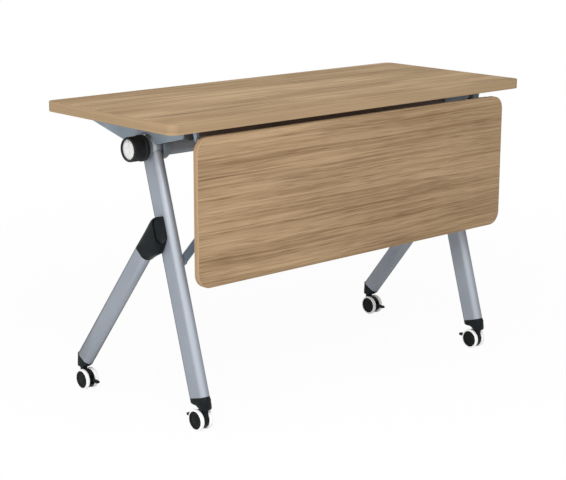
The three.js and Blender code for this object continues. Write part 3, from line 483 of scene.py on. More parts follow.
class Blank:
    """A mesh in the making, in metres in the table's frame."""

    def __init__(self) -> None:
        """Starts empty."""
        self.bm = bmesh.new()

    def oval(self, thickness: float, width: float, place: Matrix, sides: int = 48) -> Edges:
        """Adds a flat oval ring, thickness along local x and width along local y.

        Args:
            thickness: Distance between the flat sides.
            width: Distance over the round ends.
            place: Where the ring's centre and axes go.
            sides: Edges of the ring.

        Returns:
            The ring's edges.
        """
        turn = Matrix.Rotation(math.pi / sides, 4, "Z")
        ring = bmesh.ops.create_circle(self.bm, segments=sides, radius=thickness / 2, matrix=turn)["verts"]
        for vert in ring:
            vert.co.y += math.copysign((width - thickness) / 2, vert.co.y)
        bmesh.ops.transform(self.bm, matrix=place, verts=ring)
        return list({edge for vert in ring for edge in vert.link_edges})

    def rounded_rectangle(self, length: float, width: float, corner: float, place: Matrix) -> Edges:
        """Adds the outline of a rectangle with round corners.

        Args:
            length: Size along local x.
            width: Size along local y.
            corner: Radius of the corners.
            place: Where its centre and axes go.

        Returns:
            The outline's edges.
        """
        known = set(self.bm.verts)
        corners = bmesh.ops.create_grid(self.bm, x_segments=1, y_segments=1, size=0.5)["verts"]
        bmesh.ops.scale(self.bm, vec=(length, width, 1.0), verts=corners)
        bmesh.ops.bevel(
            self.bm, geom=corners, offset=corner, offset_type="OFFSET", segments=14, profile=0.5,
            affect="VERTICES", material=-1)
        fresh = [vert for vert in self.bm.verts if vert not in known]
        bmesh.ops.transform(self.bm, matrix=place, verts=fresh)
        faces = list({face for vert in fresh for face in vert.link_faces})
        bmesh.ops.delete(self.bm, geom=faces, context="FACES_ONLY")
        return list({edge for vert in fresh for edge in vert.link_edges})

    def outline(self, points: Sequence[Point], x: float) -> Edges:
        """Adds a closed outline in the plane across the table at x.

        Args:
            points: Corners as y and z.
            x: The plane.

        Returns:
            The outline's edges.
        """
        verts = [self.bm.verts.new((x, y, z)) for y, z in points]
        return [self.bm.edges.new(pair) for pair in zip(verts, verts[1:] + verts[:1])]

    def draw_out(self, edges: Edges, move: Matrix) -> Edges:
        """Draws walls out from a ring of edges.

        Args:
            edges: The ring.
            move: What carries the ring to its new place.

        Returns:
            The new ring's edges.
        """
        made = bmesh.ops.extrude_edge_only(self.bm, edges=edges)["geom"]
        verts = [item for item in made if isinstance(item, bmesh.types.BMVert)]
        bmesh.ops.transform(self.bm, matrix=move, verts=verts)
        fresh = set(verts)
        return [e for e in made if isinstance(e, bmesh.types.BMEdge) and set(e.verts) <= fresh]

    def loft(self, edges: Edges, places: Sequence[Matrix]) -> Edges:
        """Draws a ring through several places, the first of which is where it is.

        Args:
            edges: The ring at the first place.
            places: The places in turn.

        Returns:
            The last ring's edges.
        """
        for start, end in zip(places, places[1:]):
            edges = self.draw_out(edges, end @ start.inverted())
        return edges

    def slab(self, points: Sequence[Point], x0: float, x1: float) -> None:
        """Adds a closed slab with an outline in y and z, from x0 to x1."""
        self.draw_out(self.outline(points, x0), Matrix.Translation((x1 - x0, 0, 0)))
        self.close()

    def plate(self, points: Sequence[Point], y0: float, y1: float) -> None:
        """Adds a closed plate with an outline in x and z, from y0 to y1."""
        verts = [self.bm.verts.new((x, y0, z)) for x, z in points]
        ring = [self.bm.edges.new(pair) for pair in zip(verts, verts[1:] + verts[:1])]
        self.draw_out(ring, Matrix.Translation((0, y1 - y0, 0)))
        self.close()

    def close(self) -> None:
        """Closes every open ring with a face."""
        bmesh.ops.holes_fill(self.bm, edges=[e for e in self.bm.edges if e.is_boundary], sides=0)

    def turned(self, profile: Sequence[Point], place: Matrix, steps: int = 64) -> None:
        """Adds a turned shape about the local x axis.

        Args:
            profile: Radius and place along x of the outline's corners.
            place: Where the axis goes.
            steps: Sides of the turned shape.
        """
        known = set(self.bm.verts)
        verts = [self.bm.verts.new((along, radius, 0.0)) for radius, along in profile]
        edges = [self.bm.edges.new(pair) for pair in zip(verts, verts[1:])]
        bmesh.ops.spin(
            self.bm, geom=verts + edges, cent=(0, 0, 0), axis=(1, 0, 0), dvec=(0, 0, 0),
            angle=2 * math.pi, steps=steps, use_merge=True, use_duplicate=False)
        fresh = [vert for vert in self.bm.verts if vert not in known]
        bmesh.ops.transform(self.bm, matrix=place, verts=fresh)
        self.weld()

    def block(self, low: Sequence[float], high: Sequence[float]) -> None:
        """Adds a box between two corners, to be softened later."""
        centre = (Vector(low) + Vector(high)) / 2
        size = Vector(high) - Vector(low)
        place = Matrix.Translation(centre) @ Matrix.Diagonal((*size, 1.0))
        bmesh.ops.create_cube(self.bm, size=1.0, matrix=place)

    def cut_off(self, point: Vector, normal: Vector) -> None:
        """Cuts off what lies beyond a plane and closes the cut."""
        everything = self.bm.verts[:] + self.bm.edges[:] + self.bm.faces[:]
        bmesh.ops.bisect_plane(self.bm, geom=everything, plane_co=point, plane_no=normal, clear_outer=True)
        self.close()

    def soften(self, width: float, segments: int = 3, least: float = 40.0,
               pick: Callable[[Vector], bool] | None = None) -> None:
        """Rounds the sharp edges.

        Args:
            width: Width of the rounding.
            segments: Faces across it.
            least: Smallest angle between faces, in degrees, that counts as sharp.
            pick: Tells from an edge's middle whether it is meant; all are if left out.
        """
        self.weld()
        sharp = [
            edge for edge in self.bm.edges
            if len(edge.link_faces) == 2 and edge.calc_face_angle(0.0) > math.radians(least)
            and (pick is None or pick((edge.verts[0].co + edge.verts[1].co) / 2))
        ]
        bmesh.ops.bevel(
            self.bm, geom=sharp, offset=width, offset_type="OFFSET", segments=segments, profile=0.5,
            affect="EDGES", material=-1, clamp_overlap=True)

    def weld(self) -> None:
        """Merges doubles and turns the faces outwards."""
        bmesh.ops.remove_doubles(self.bm, verts=self.bm.verts[:], dist=1e-6)
        bmesh.ops.recalc_face_normals(self.bm, faces=self.bm.faces[:])

    def take(self, node: str) -> None:
        """Copies a solid of the frame and merges its loose faces."""
        self.bm.from_mesh(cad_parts[node].data)
        bmesh.ops.remove_doubles(self.bm, verts=self.bm.verts[:], dist=1e-5)
        bmesh.ops.dissolve_limit(
            self.bm, angle_limit=math.radians(1.0), verts=self.bm.verts[:], edges=self.bm.edges[:])

    def piece(self, name: str, finish: Finish, body: str, nodes: Sequence[str] = (),
              side: Side = Side.RIGHT, smooth: float = 32.0) -> bpy.types.Object:
        """Makes the mesh a piece of the table.

        Args:
            name: The piece's name.
            finish: What it is dressed in.
            body: The body that it moves with.
            nodes: The solids that it stands for.
            side: The left side mirrors the shape.
            smooth: Largest angle, in degrees, that is shaded smooth.

        Returns:
            The new object.
        """
        bmesh.ops.scale(self.bm, vec=(side.value, 1.0, 1.0), verts=self.bm.verts[:])
        self.weld()
        mesh = bpy.data.meshes.new(name)
        self.bm.to_mesh(mesh)
        self.bm.free()
        mesh.polygons.foreach_set("use_smooth", [True] * len(mesh.polygons))
        mesh.set_sharp_from_angle(angle=math.radians(smooth))
        mesh.materials.append(finish.material())
        made = bpy.data.objects.new(name, mesh)
        bpy.context.scene.collection.objects.link(made)
        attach(made, body)
        if nodes:
            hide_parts(*nodes)
        log.info("%s: %d faces on %s", name, len(mesh.polygons), body)
        return made


@dataclass
class Board:
    """A laminate board with a glued edge band."""

    name: str
    body: str
    core_node: str
    band_node: str
    length: float
    width: float
    thickness: float
    corner: float
    band: float
    place: Matrix
    face_finish: Finish
    edge_finish: Finish
    seam: float = 0.3 * MM
    round_over: float = 1.4 * MM

    def build(self) -> None:
        """Builds the core and the band round it."""
        rise = self.place @ Matrix.Translation((0, 0, self.thickness)) @ self.place.inverted()
        core = Blank()
        ring = core.rounded_rectangle(self.length, self.width, self.corner, self.place)
        rim = core.draw_out(ring, self.shrink(self.band + self.seam))
        core.draw_out(rim, rise)
        bmesh.ops.delete(core.bm, geom=list({v for edge in ring for v in edge.verts}), context="VERTS")
        core.close()
        core.soften(0.12 * MM, 1, 60.0)
        core.piece(self.name + "_face", self.face_finish, self.body, [self.core_node])

        band = Blank()
        ring = band.rounded_rectangle(self.length, self.width, self.corner, self.place)
        shrink = self.shrink(self.band)
        for move in (rise, shrink, rise.inverted(), shrink.inverted()):
            ring = band.draw_out(ring, move)
        local = self.place.inverted()
        edge_x, edge_y = self.length / 2, self.width / 2

        def outside(middle: Vector) -> bool:
            """Tells the outer rim's edges from the inner ones."""
            at = local @ middle
            near = self.band * 0.6
            past_corner = math.hypot(max(abs(at.x) - edge_x + self.corner, 0.0),
                                     max(abs(at.y) - edge_y + self.corner, 0.0)) > self.corner - near
            return past_corner

        band.soften(self.round_over, 4, 60.0, outside)
        band.piece(self.name + "_edge", self.edge_finish, self.body, [self.band_node])

    def shrink(self, inset: float) -> Matrix:
        """Gives what draws the board's outline in by an inset."""
        shares = ((self.length - 2 * inset) / self.length, (self.width - 2 * inset) / self.width, 1.0, 1.0)
        return self.place @ Matrix.Diagonal(shares) @ self.place.inverted()


@dataclass
class LegLine:
    """The line of a leg, seen from the side of the table."""

    x: float
    foot: Point
    aim: Point

    @property
    def along(self) -> Vector:
        """The direction up the leg."""
        return Vector((0, self.aim[0] - self.foot[0], self.aim[1] - self.foot[1])).normalized()

    @property
    def across(self) -> Vector:
        """The direction across the leg, towards the rear."""
        return Vector((0, self.along.z, -self.along.y))

    @property
    def reach(self) -> float:
        """The distance from the foot to the point that the leg aims at."""
        return math.hypot(self.aim[0] - self.foot[0], self.aim[1] - self.foot[1])

    def at(self, up: float, side: float = 0.0) -> Vector:
        """Gives a point up the leg and to the side of its line."""
        return Vector((self.x, *self.foot)) + up * self.along + side * self.across

    def place(self, up: float, side: float = 0.0, slope: float = 0.0) -> Matrix:
        """Gives the frame of a cross section.

        Args:
            up: Distance from the foot.
            side: Distance across from the leg's line.
            slope: Rise of the section per metre across.

        Returns:
            The section's frame, with x across the table and y across the leg.
        """
        tilted = self.across + slope * self.along
        origin = self.at(up, side)
        return Matrix((
            (1, 0, 0, origin.x),
            (0, tilted.y, self.along.y, origin.y),
            (0, tilted.z, self.along.z, origin.z),
            (0, 0, 0, 1),
        ))


@dataclass
class LegFrame:
    """One end of the frame: two legs, the head, the joint, the brace and the boots."""

    side: Side
    pivot: Point = (-30 * MM, 661 * MM)
    crossing: Point = (-85.38 * MM, 475 * MM)
    thickness: float = 29 * MM
    front_width: float = 60 * MM
    rear_width: float = 50 * MM
    front_x: float = 491 * MM
    rear_x: float = 520.4 * MM
    head_radius: float = 31 * MM
    trunnion_radius: float = 15 * MM
    trunnion_end: float = 429.6 * MM
    head_face: float = 515.5 * MM
    boss_radius: float = 24 * MM
    bore: float = 6 * MM
    brace_radius: float = 10.5 * MM
    brace_height: float = 383 * MM
    brace_end: float = 79 * MM
    joint_skirt: float = 86 * MM
    joint_front: float = 15.2 * MM
    joint_slant: float = 0.38
    joint_square: float = 0.4
    joint_wall: float = 6 * MM
    joint_hollow: float = 7 * MM
    joint_rows: tuple[tuple[float, float, float], ...] = (
        (-85.7, -25, 25), (-80, -26.2, 25), (-70, -30, 25), (-60, -34.5, 25), (-52, -38.5, 25), (-46, -41, 25),
        (-40, -42, 25), (-32, -41, 25), (-20, -38, 25), (-5, -33.5, 25), (6, -30, 24.6), (14, -28, 22.6),
        (20, -26.5, 19.4), (31, -24, 11.5),
    )
    rear_end: float = 6.2 * MM
    rear_slope: float = -0.17
    boot_bottom: float = 58 * MM
    neck_radius: float = 10 * MM
    neck_bottom: float = 54.5 * MM

    def __post_init__(self) -> None:
        """Draws the lines of both legs."""
        self.front = LegLine(self.front_x, (-203 * MM, 80 * MM), self.pivot)
        self.rear = LegLine(self.rear_x, (229 * MM, 77 * MM), self.crossing)

    def build(self) -> None:
        """Builds every piece of this end."""
        self.build_front_leg()
        self.build_rear_leg()
        self.build_head()
        self.build_joint()
        self.build_brace()
        self.build_front_boot()
        self.build_rear_boot()
        self.build_bolt()

    def build_front_leg(self) -> None:
        """Builds the flat oval front tube up into the head."""
        leg = Blank()
        start = self.front.place(0.0)
        ring = leg.oval(self.thickness, self.front_width, start)
        leg.loft(ring, [start, self.front.place(self.front.reach - 14 * MM)])
        leg.close()
        leg.soften(1.2 * MM, 3, 60.0)
        self.finish(leg, "front_leg", SILVER_PAINT)

    def build_rear_leg(self) -> None:
        """Builds the flat oval rear tube up to the joint."""
        leg = Blank()
        start = self.rear.place(self.rear_end, 0.0, self.rear_slope)
        ring = leg.oval(self.thickness, self.rear_width, start)
        leg.loft(ring, [start, self.rear.place(self.rear.reach - self.joint_skirt)])
        leg.close()
        leg.soften(1.0 * MM, 3, 50.0)
        self.finish(leg, "rear_leg", SILVER_PAINT)

    def build_head(self) -> None:
        """Builds the round cast head with the boss behind the knob and the trunnion."""
        head = Blank()
        inner = self.front_x - self.thickness / 2
        outer = self.front_x + self.thickness / 2
        place = Matrix.Translation((0, *self.pivot))
        head.turned([
            (0.0, self.trunnion_end), (self.trunnion_radius, self.trunnion_end), (self.trunnion_radius, inner),
            (self.head_radius, inner), (self.head_radius, outer), (0.0, outer),
        ], place, 96)
        head.soften(11 * MM, 10, 60.0, lambda at: self.near_axis(at) > self.head_radius - 1 * MM)
        head.soften(1 * MM, 2, 60.0, lambda at: at.x < inner - 1 * MM)
        self.finish(head, "leg_head", SILVER_CAST)

        boss = Blank()
        boss.turned([
            (self.bore, outer - 9 * MM), (self.boss_radius, outer - 9 * MM), (self.boss_radius, self.head_face),
            (self.bore, self.head_face), (self.bore, outer - 9 * MM),
        ], place, 96)
        boss.soften(1.5 * MM, 4, 60.0, lambda at: at.x > outer)
        boss.piece(f"head_boss_{self.side.label}", GREY_CAST, "frame", (), self.side)

    def near_axis(self, at: Vector) -> float:
        """Gives a point's distance from the axis through the heads."""
        return math.hypot(at.y - self.pivot[0], at.z - self.pivot[1])

    def build_joint(self) -> None:
        """Builds the black moulded joint, which flares below and is creased along the front leg."""
        joint = Blank()
        sections = []
        for up, low, high in self.joint_rows:
            ends = [self.rear.at(self.rear.reach + up * MM, edge * MM) for edge in (low, high)]
            (low_y, low_z), (high_y, high_z) = ((end.y, end.z) for end in ends)
            sections.append(self.section((low_y, low_z), (high_y, high_z), self.rear_x, self.rear_width, 1.0))
        ring = joint.oval(self.thickness, self.rear_width, Matrix.Identity(4), 64)
        self.square_inside(joint)
        bmesh.ops.transform(joint.bm, matrix=sections[0], verts=joint.bm.verts[:])
        joint.loft(ring, sections)
        joint.close()
        facet = Vector((self.joint_slant, 0, 0)) - self.front.across
        edge = Vector((self.rear_x - self.thickness / 2, *self.crossing)) - self.joint_front * self.front.across
        joint.cut_off(edge, facet.normalized())
        joint.soften(2.4 * MM, 4, 30.0, lambda at: (at - self.rear.at(0.0)).dot(self.rear.along)
                     > self.rear.reach - self.joint_skirt + 2 * MM)
        self.hollow(joint, facet.normalized())
        plug = self.rear.place(self.rear.reach - self.joint_skirt - 35 * MM)
        inside = joint.oval(self.thickness - 4.6 * MM, self.rear_width - 4.6 * MM, plug)
        joint.loft(inside, [plug, self.rear.place(self.rear.reach - self.joint_skirt + 10 * MM)])
        joint.close()
        self.finish(joint, "leg_joint", BLACK_PLASTIC)

    def square_inside(self, joint: Blank) -> None:
        """Squares the half of the joint's oval that lies against the front leg.

        Args:
            joint: The blank with the oval about the origin.
        """
        radius, straight = self.thickness / 2, (self.rear_width - self.thickness) / 2
        for vert in joint.bm.verts:
            if vert.co.x < 0:
                end = max(abs(vert.co.y) - straight, 0.0) / radius
                vert.co.y = math.copysign(straight + radius * end ** self.joint_square, vert.co.y)
                vert.co.x = -radius * (-vert.co.x / radius) ** self.joint_square

    def hollow(self, joint: Blank, facing: Vector) -> None:
        """Presses a hollow into the joint's slanted front, deepest along its outer edge.

        Args:
            joint: The blank of the softened joint.
            facing: Normal of the slanted front.
        """
        joint.weld()
        joint.bm.normal_update()
        fronts = [face for face in joint.bm.faces if face.normal.dot(facing) > 0.99]
        front = max(fronts, key=lambda face: face.calc_area())
        bmesh.ops.inset_region(
            joint.bm, faces=[front], thickness=self.joint_wall, use_even_offset=True, use_boundary=True)
        low = min(vert.co.x for vert in front.verts)
        high = max(vert.co.x for vert in front.verts)
        for vert in front.verts:
            vert.co -= facing * self.joint_hollow * (vert.co.x - low) / (high - low)

    def build_brace(self) -> None:
        """Builds the round brace from the front leg to the beam, with a weld bead where it meets the leg."""
        share = (self.brace_height - self.front.foot[1]) / (self.pivot[1] - self.front.foot[1])
        low_y = self.front.foot[0] + share * (self.pivot[0] - self.front.foot[0])
        low = Vector((self.front_x - self.thickness / 2 - 0.3 * MM, low_y, self.brace_height))
        high = Vector((self.brace_end, *self.pivot))
        line = high - low
        length = line.length - 26 * MM
        turn = Vector((1, 0, 0)).rotation_difference(line).to_matrix().to_4x4()
        brace = Blank()
        brace.turned([(0.0, 0.0), (self.brace_radius, 0.0), (self.brace_radius, length), (0.0, length)],
                     Matrix.Translation(low) @ turn, 40)
        bead = self.brace_radius + 1.6 * MM
        brace.turned([
            (0.0, -8 * MM), (self.brace_radius, 13 * MM), (bead, 15 * MM), (bead - 0.4 * MM, 17 * MM),
            (self.brace_radius, 18.5 * MM), (0.0, 18.5 * MM),
        ], Matrix.Translation(low) @ turn, 40)
        brace.cut_off(low, Vector((1, 0, 0)))
        # The brace wears the silver tube paint darkened as painted shade.
        self.finish(brace, "brace", BRACE_PAINTED_SHADE)

    def section(self, low: Point, high: Point, x: float, width: float, thick: float) -> Matrix:
        """Gives the frame of a boot's section between two points.

        Args:
            low: One end as y and z.
            high: Other end as y and z.
            x: Where the section's middle is.
            width: The oval's own width, which is stretched to the ends.
            thick: Share of the oval's own thickness.

        Returns:
            The section's frame.
        """
        span = Vector((0, high[0] - low[0], high[1] - low[1]))
        normal = Vector((1, 0, 0)).cross(span).normalized()
        middle = ((low[0] + high[0]) / 2, (low[1] + high[1]) / 2)
        return Matrix((
            (thick, 0, 0, x),
            (0, span.y / width, normal.y, middle[0]),
            (0, span.z / width, normal.z, middle[1]),
            (0, 0, 0, 1),
        ))

    def boot(self, name: str, line: LegLine, width: float, sections: Sequence[Matrix], stem_y: float) -> None:
        """Builds a boot through its sections, with its neck and the plug in the tube.

        Args:
            name: The piece's name without its side.
            line: The leg that it ends.
            width: The leg's width.
            sections: The boot's sections from the tube down.
            stem_y: Where the caster's stem stands.
        """
        boot = Blank()
        ring = boot.oval(self.thickness, width, sections[0])
        boot.loft(ring, sections)
        boot.close()
        boot.soften(1.2 * MM, 2, 50.0, lambda at: at.z < self.boot_bottom + 4 * MM)
        neck = Matrix.Translation((line.x, stem_y, 0)) @ Matrix.Rotation(-math.pi / 2, 4, "Y")
        boot.turned([
            (0.0, self.neck_bottom), (self.neck_radius, self.neck_bottom),
            (self.neck_radius + 1.5 * MM, self.boot_bottom + 2 * MM), (0.0, self.boot_bottom + 2 * MM),
        ], neck, 40)
        plug = line.place(-2 * MM)
        inside = boot.oval(self.thickness - 4.6 * MM, width - 4.6 * MM, plug)
        boot.loft(inside, [plug, line.place(30 * MM)])
        boot.close()
        self.finish(boot, name, BLACK_PLASTIC)

    def build_front_boot(self) -> None:
        """Builds the front boot, whose underside sweeps up to the tube's heel."""
        half = self.front_width / 2
        toe, heel = self.front.at(-0.3 * MM, -half), self.front.at(-0.3 * MM, half)
        lip = self.front.at(-11 * MM, half)
        toe_y = toe.y - 4.8 * MM
        rows = [
            ((toe.y, toe.z), (heel.y, heel.z), 1.0),
            ((toe_y, toe.z - 6 * MM), (lip.y, lip.z), 1.0),
            ((toe_y, toe.z - 14 * MM), (lip.y - 9 * MM, lip.z - 0.6 * MM), 0.99),
            ((toe_y, 69 * MM), (-198 * MM, 61.6 * MM), 0.99),
            ((toe_y, 58 * MM), (-207 * MM, 59.2 * MM), 0.98),
            ((toe_y + 1 * MM, 55.2 * MM), (-210 * MM, 58 * MM), 0.95),
        ]
        sections = [self.section(a, b, self.front_x, self.front_width, t) for a, b, t in rows]
        self.boot("front_boot", self.front, self.front_width, sections, -220 * MM)

    def build_rear_boot(self) -> None:
        """Builds the rear boot, a wedge under the slanted tube."""
        half = self.rear_width / 2
        tilt = self.rear_slope * half
        thin = self.rear.at(self.rear_end - tilt - 0.3 * MM, -half)
        heel = self.rear.at(self.rear_end + tilt - 0.3 * MM, half)
        lip = self.rear.at(self.rear_end - tilt - 4 * MM, -half)
        back = 249.9 * MM
        rows = [
            ((thin.y, thin.z), (back, heel.z), 1.0),
            ((lip.y, lip.z), (back, 87 * MM), 1.0),
            ((214 * MM, 61 * MM), (back, 72 * MM), 1.0),
            ((219 * MM, 58.6 * MM), (back, 61 * MM), 0.98),
            ((221 * MM, 58 * MM), (back - 1 * MM, 58 * MM), 0.95),
        ]
        sections = [self.section(a, b, self.rear_x, self.rear_width, t) for a, b, t in rows]
        self.boot("rear_boot", self.rear, self.rear_width, sections, 236 * MM)

    def build_bolt(self) -> None:
        """Gives the bolt through leg and joint a softened head."""
        bolt = Blank()
        bolt.take(f"leg_bolt_{self.side.label}")
        bolt.soften(0.6 * MM, 2, 50.0)
        bolt.piece(f"joint_bolt_{self.side.label}", BARE_STEEL, "frame", [f"leg_bolt_{self.side.label}"])

    def finish(self, blank: Blank, name: str, finish: Finish) -> None:
        """Makes a blank the fine piece that stands for this side's node of that name."""
        node = f"{name}_{self.side.label}"
        blank.piece(f"fine_{node}", finish, "frame", [node], self.side)


@dataclass
class CrossTubes:
    """The round beam between the heads and the dark stretcher under the top."""

    pivot: Point = (-30 * MM, 661 * MM)
    beam_radius: float = 25.5 * MM
    beam_end: float = 456.6 * MM
    stretcher_end: float = 472.2 * MM

    def build(self) -> None:
        """Builds the beam, a plain tube with a bore, and the stretcher."""
        beam = Blank()
        beam.turned([
            (15.2 * MM, -self.beam_end), (self.beam_radius, -self.beam_end),
            (self.beam_radius, self.beam_end), (15.2 * MM, self.beam_end), (15.2 * MM, -self.beam_end),
        ], Matrix.Translation((0, *self.pivot)), 80)
        beam.soften(1.2 * MM, 3, 50.0)
        beam.piece("fine_cross_beam", SILVER_PAINT, "frame", ["cross_beam"])

        tube = Blank()
        low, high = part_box("top_stretcher")
        centre = (low + high) / 2
        across = Matrix((
            (0, 0, 1, -self.stretcher_end), (1, 0, 0, centre.y), (0, 1, 0, centre.z), (0, 0, 0, 1)))
        draw = Matrix.Translation((2 * self.stretcher_end, 0, 0))
        wide, tall = high.y - low.y, high.z - low.z
        shrink = across @ Matrix.Diagonal((1 - 4 * MM / wide, 1 - 4 * MM / tall, 1, 1)) @ across.inverted()
        ring = tube.rounded_rectangle(wide, tall, 3 * MM, across)
        for move in (draw, draw @ shrink @ draw.inverted(), draw.inverted(), shrink.inverted()):
            ring = tube.draw_out(ring, move)
        tube.piece("fine_top_stretcher", BLACK_STEEL, "top", ["top_stretcher"])


@dataclass
class FlipBracket:
    """The grey casting under one end of the top, with the hub that turns on the head."""

    side: Side
    pivot: Point = (-30 * MM, 661 * MM)
    top: float = 63.7 * MM
    arm_inner: float = 472.5 * MM
    arm_outer: float = 505.5 * MM
    hub_inner: float = 456.9 * MM
    hub_outer: float = 475.9 * MM
    hub_radius: float = 33 * MM
    bore: float = 15.4 * MM
    lock_orbit: float = 23 * MM
    lock_hole: float = 4.4 * MM
    lock_depth: float = 14.6 * MM
    web_width: float = 50 * MM
    front_reach: float = 144 * MM
    rear_reach: float = 255 * MM
    nose_depth: float = 25.3 * MM
    rear_tip: float = 17 * MM
    clear: float = 33.5 * MM
    throat_angle: float = 162.3
    heel_angle: float = 59.4
    knee: Point = (91.8 * MM, 6.6 * MM)
    # Outline of a dark strip along the arm's inner lower edge: painted shade where the edge would otherwise catch
    # light.
    shade_strip: tuple[Point, ...] = (
        (-141 * MM, 40 * MM), (-46 * MM, 16 * MM), (-46 * MM, 12.4 * MM), (-141 * MM, 36.4 * MM),
    )

    def build(self) -> None:
        """Builds the arm, the web and the hub as one casting."""
        bracket = Blank()
        self.add_arm(bracket)
        bracket.soften(7.5 * MM, 5, 60.0, self.at_nose)
        bracket.soften(2.0 * MM, 3, 45.0, lambda at: at.z < self.pivot[1] + self.top - 1 * MM)
        self.add_hub(bracket)
        bracket.soften(1.5 * MM, 3, 60.0, lambda at: at.x < self.arm_inner and at.z < self.pivot[1] + 50 * MM)
        half = self.web_width / 2
        y, z = self.pivot
        bracket.block((self.hub_inner + 2 * MM, y - half, z + 20 * MM),
                      (self.hub_outer - 1 * MM, y + half, z + self.top))
        node = f"flip_bracket_{self.side.label}"
        bracket.piece(f"fine_{node}", GREY_CAST, "top", [node], self.side)
        self.build_cap()

    def add_hub(self, bracket: Blank) -> None:
        """Adds the hub: a thick ring with a hole for the lock pin at each end of the flip.

        Args:
            bracket: The blank that it goes into.
        """
        y, z = self.pivot
        facing = Matrix.Rotation(math.pi / 2, 4, "Y")
        face = Matrix.Translation((self.hub_outer, y, z)) @ facing
        rings = [edge for size in (self.hub_radius, self.bore) for edge in bracket.oval(2 * size, 2 * size, face, 72)]
        holes = []
        for dy, dz in ((0.0, -self.lock_orbit), (self.lock_orbit, 0.0)):
            spot = Matrix.Translation((self.hub_outer, y + dy, z + dz)) @ facing
            holes += bracket.oval(2 * self.lock_hole, 2 * self.lock_hole, spot, 24)
        bmesh.ops.triangle_fill(bracket.bm, edges=rings + holes, use_beauty=True, use_dissolve=False)
        back = bracket.draw_out(rings, Matrix.Translation((self.hub_inner - self.hub_outer, 0, 0)))
        bmesh.ops.triangle_fill(bracket.bm, edges=back, use_beauty=True, use_dissolve=False)
        bracket.draw_out(holes, Matrix.Translation((-self.lock_depth, 0, 0)))
        bracket.close()

    def build_cap(self) -> None:
        """Builds the black plug that closes the front end of the arm and hangs a little below it, and a dark grey
        strip along the arm's inner lower edge that is painted shade.
        """
        front, high = self.pivot[0] - self.front_reach, self.pivot[1] + self.top - 2 * MM
        inner, outer = self.arm_inner + 1.5 * MM, self.arm_outer - 0.6 * MM
        cap = Blank()
        cap.plate([
            (inner + 5 * MM, high), (inner + 5 * MM, high - 29 * MM), (outer - 15 * MM, high - 29 * MM),
            (outer, high - 24 * MM), (outer, high),
        ], front - 1.5 * MM, front + 6 * MM)
        cap.soften(1.2 * MM, 3, 40.0)
        # Painted shade: a dark grey strip along the inner lower edge of the arm.
        cap.slab([(self.pivot[0] + y, self.pivot[1] + z) for y, z in self.shade_strip], inner, inner + 18 * MM)
        cap.piece(f"arm_plug_{self.side.label}", GREY_PLASTIC, "top", (), self.side)

    def at_nose(self, at: Vector) -> bool:
        """Tells the lower front edge of the arm."""
        return at.y < self.pivot[0] - self.front_reach + 1 * MM and at.z < self.pivot[1] + self.top - 5 * MM \
            and abs(at.x - (self.arm_inner + self.arm_outer) / 2) < 1 * MM

    def add_arm(self, bracket: Blank) -> None:
        """Adds the arm: an outline with an arc that clears the head, drawn across its width.

        Args:
            bracket: The blank that it goes into.
        """
        y, z = self.pivot
        throat = math.radians(self.throat_angle)
        sweep = math.radians(self.throat_angle - self.heel_angle)
        bm = bracket.bm
        start = bm.verts.new((self.arm_inner, y + self.clear * math.cos(throat), z + self.clear * math.sin(throat)))
        arc = bmesh.ops.spin(
            bm, geom=[start], cent=(self.arm_inner, y, z), axis=(1, 0, 0), dvec=(0, 0, 0), angle=-sweep, steps=28)
        end = next(item for item in arc["geom_last"] if isinstance(item, bmesh.types.BMVert))
        corners = [
            (self.knee[0], self.knee[1]), (self.rear_reach, self.top - self.rear_tip), (self.rear_reach, self.top),
            (-self.front_reach, self.top), (-self.front_reach, self.top - self.nose_depth),
        ]
        chain = [end] + [bm.verts.new((self.arm_inner, y + dy, z + dz)) for dy, dz in corners] + [start]
        for pair in zip(chain, chain[1:]):
            bm.edges.new(pair)
        bracket.draw_out(bm.edges[:], Matrix.Translation((self.arm_outer - self.arm_inner, 0, 0)))
        bracket.close()


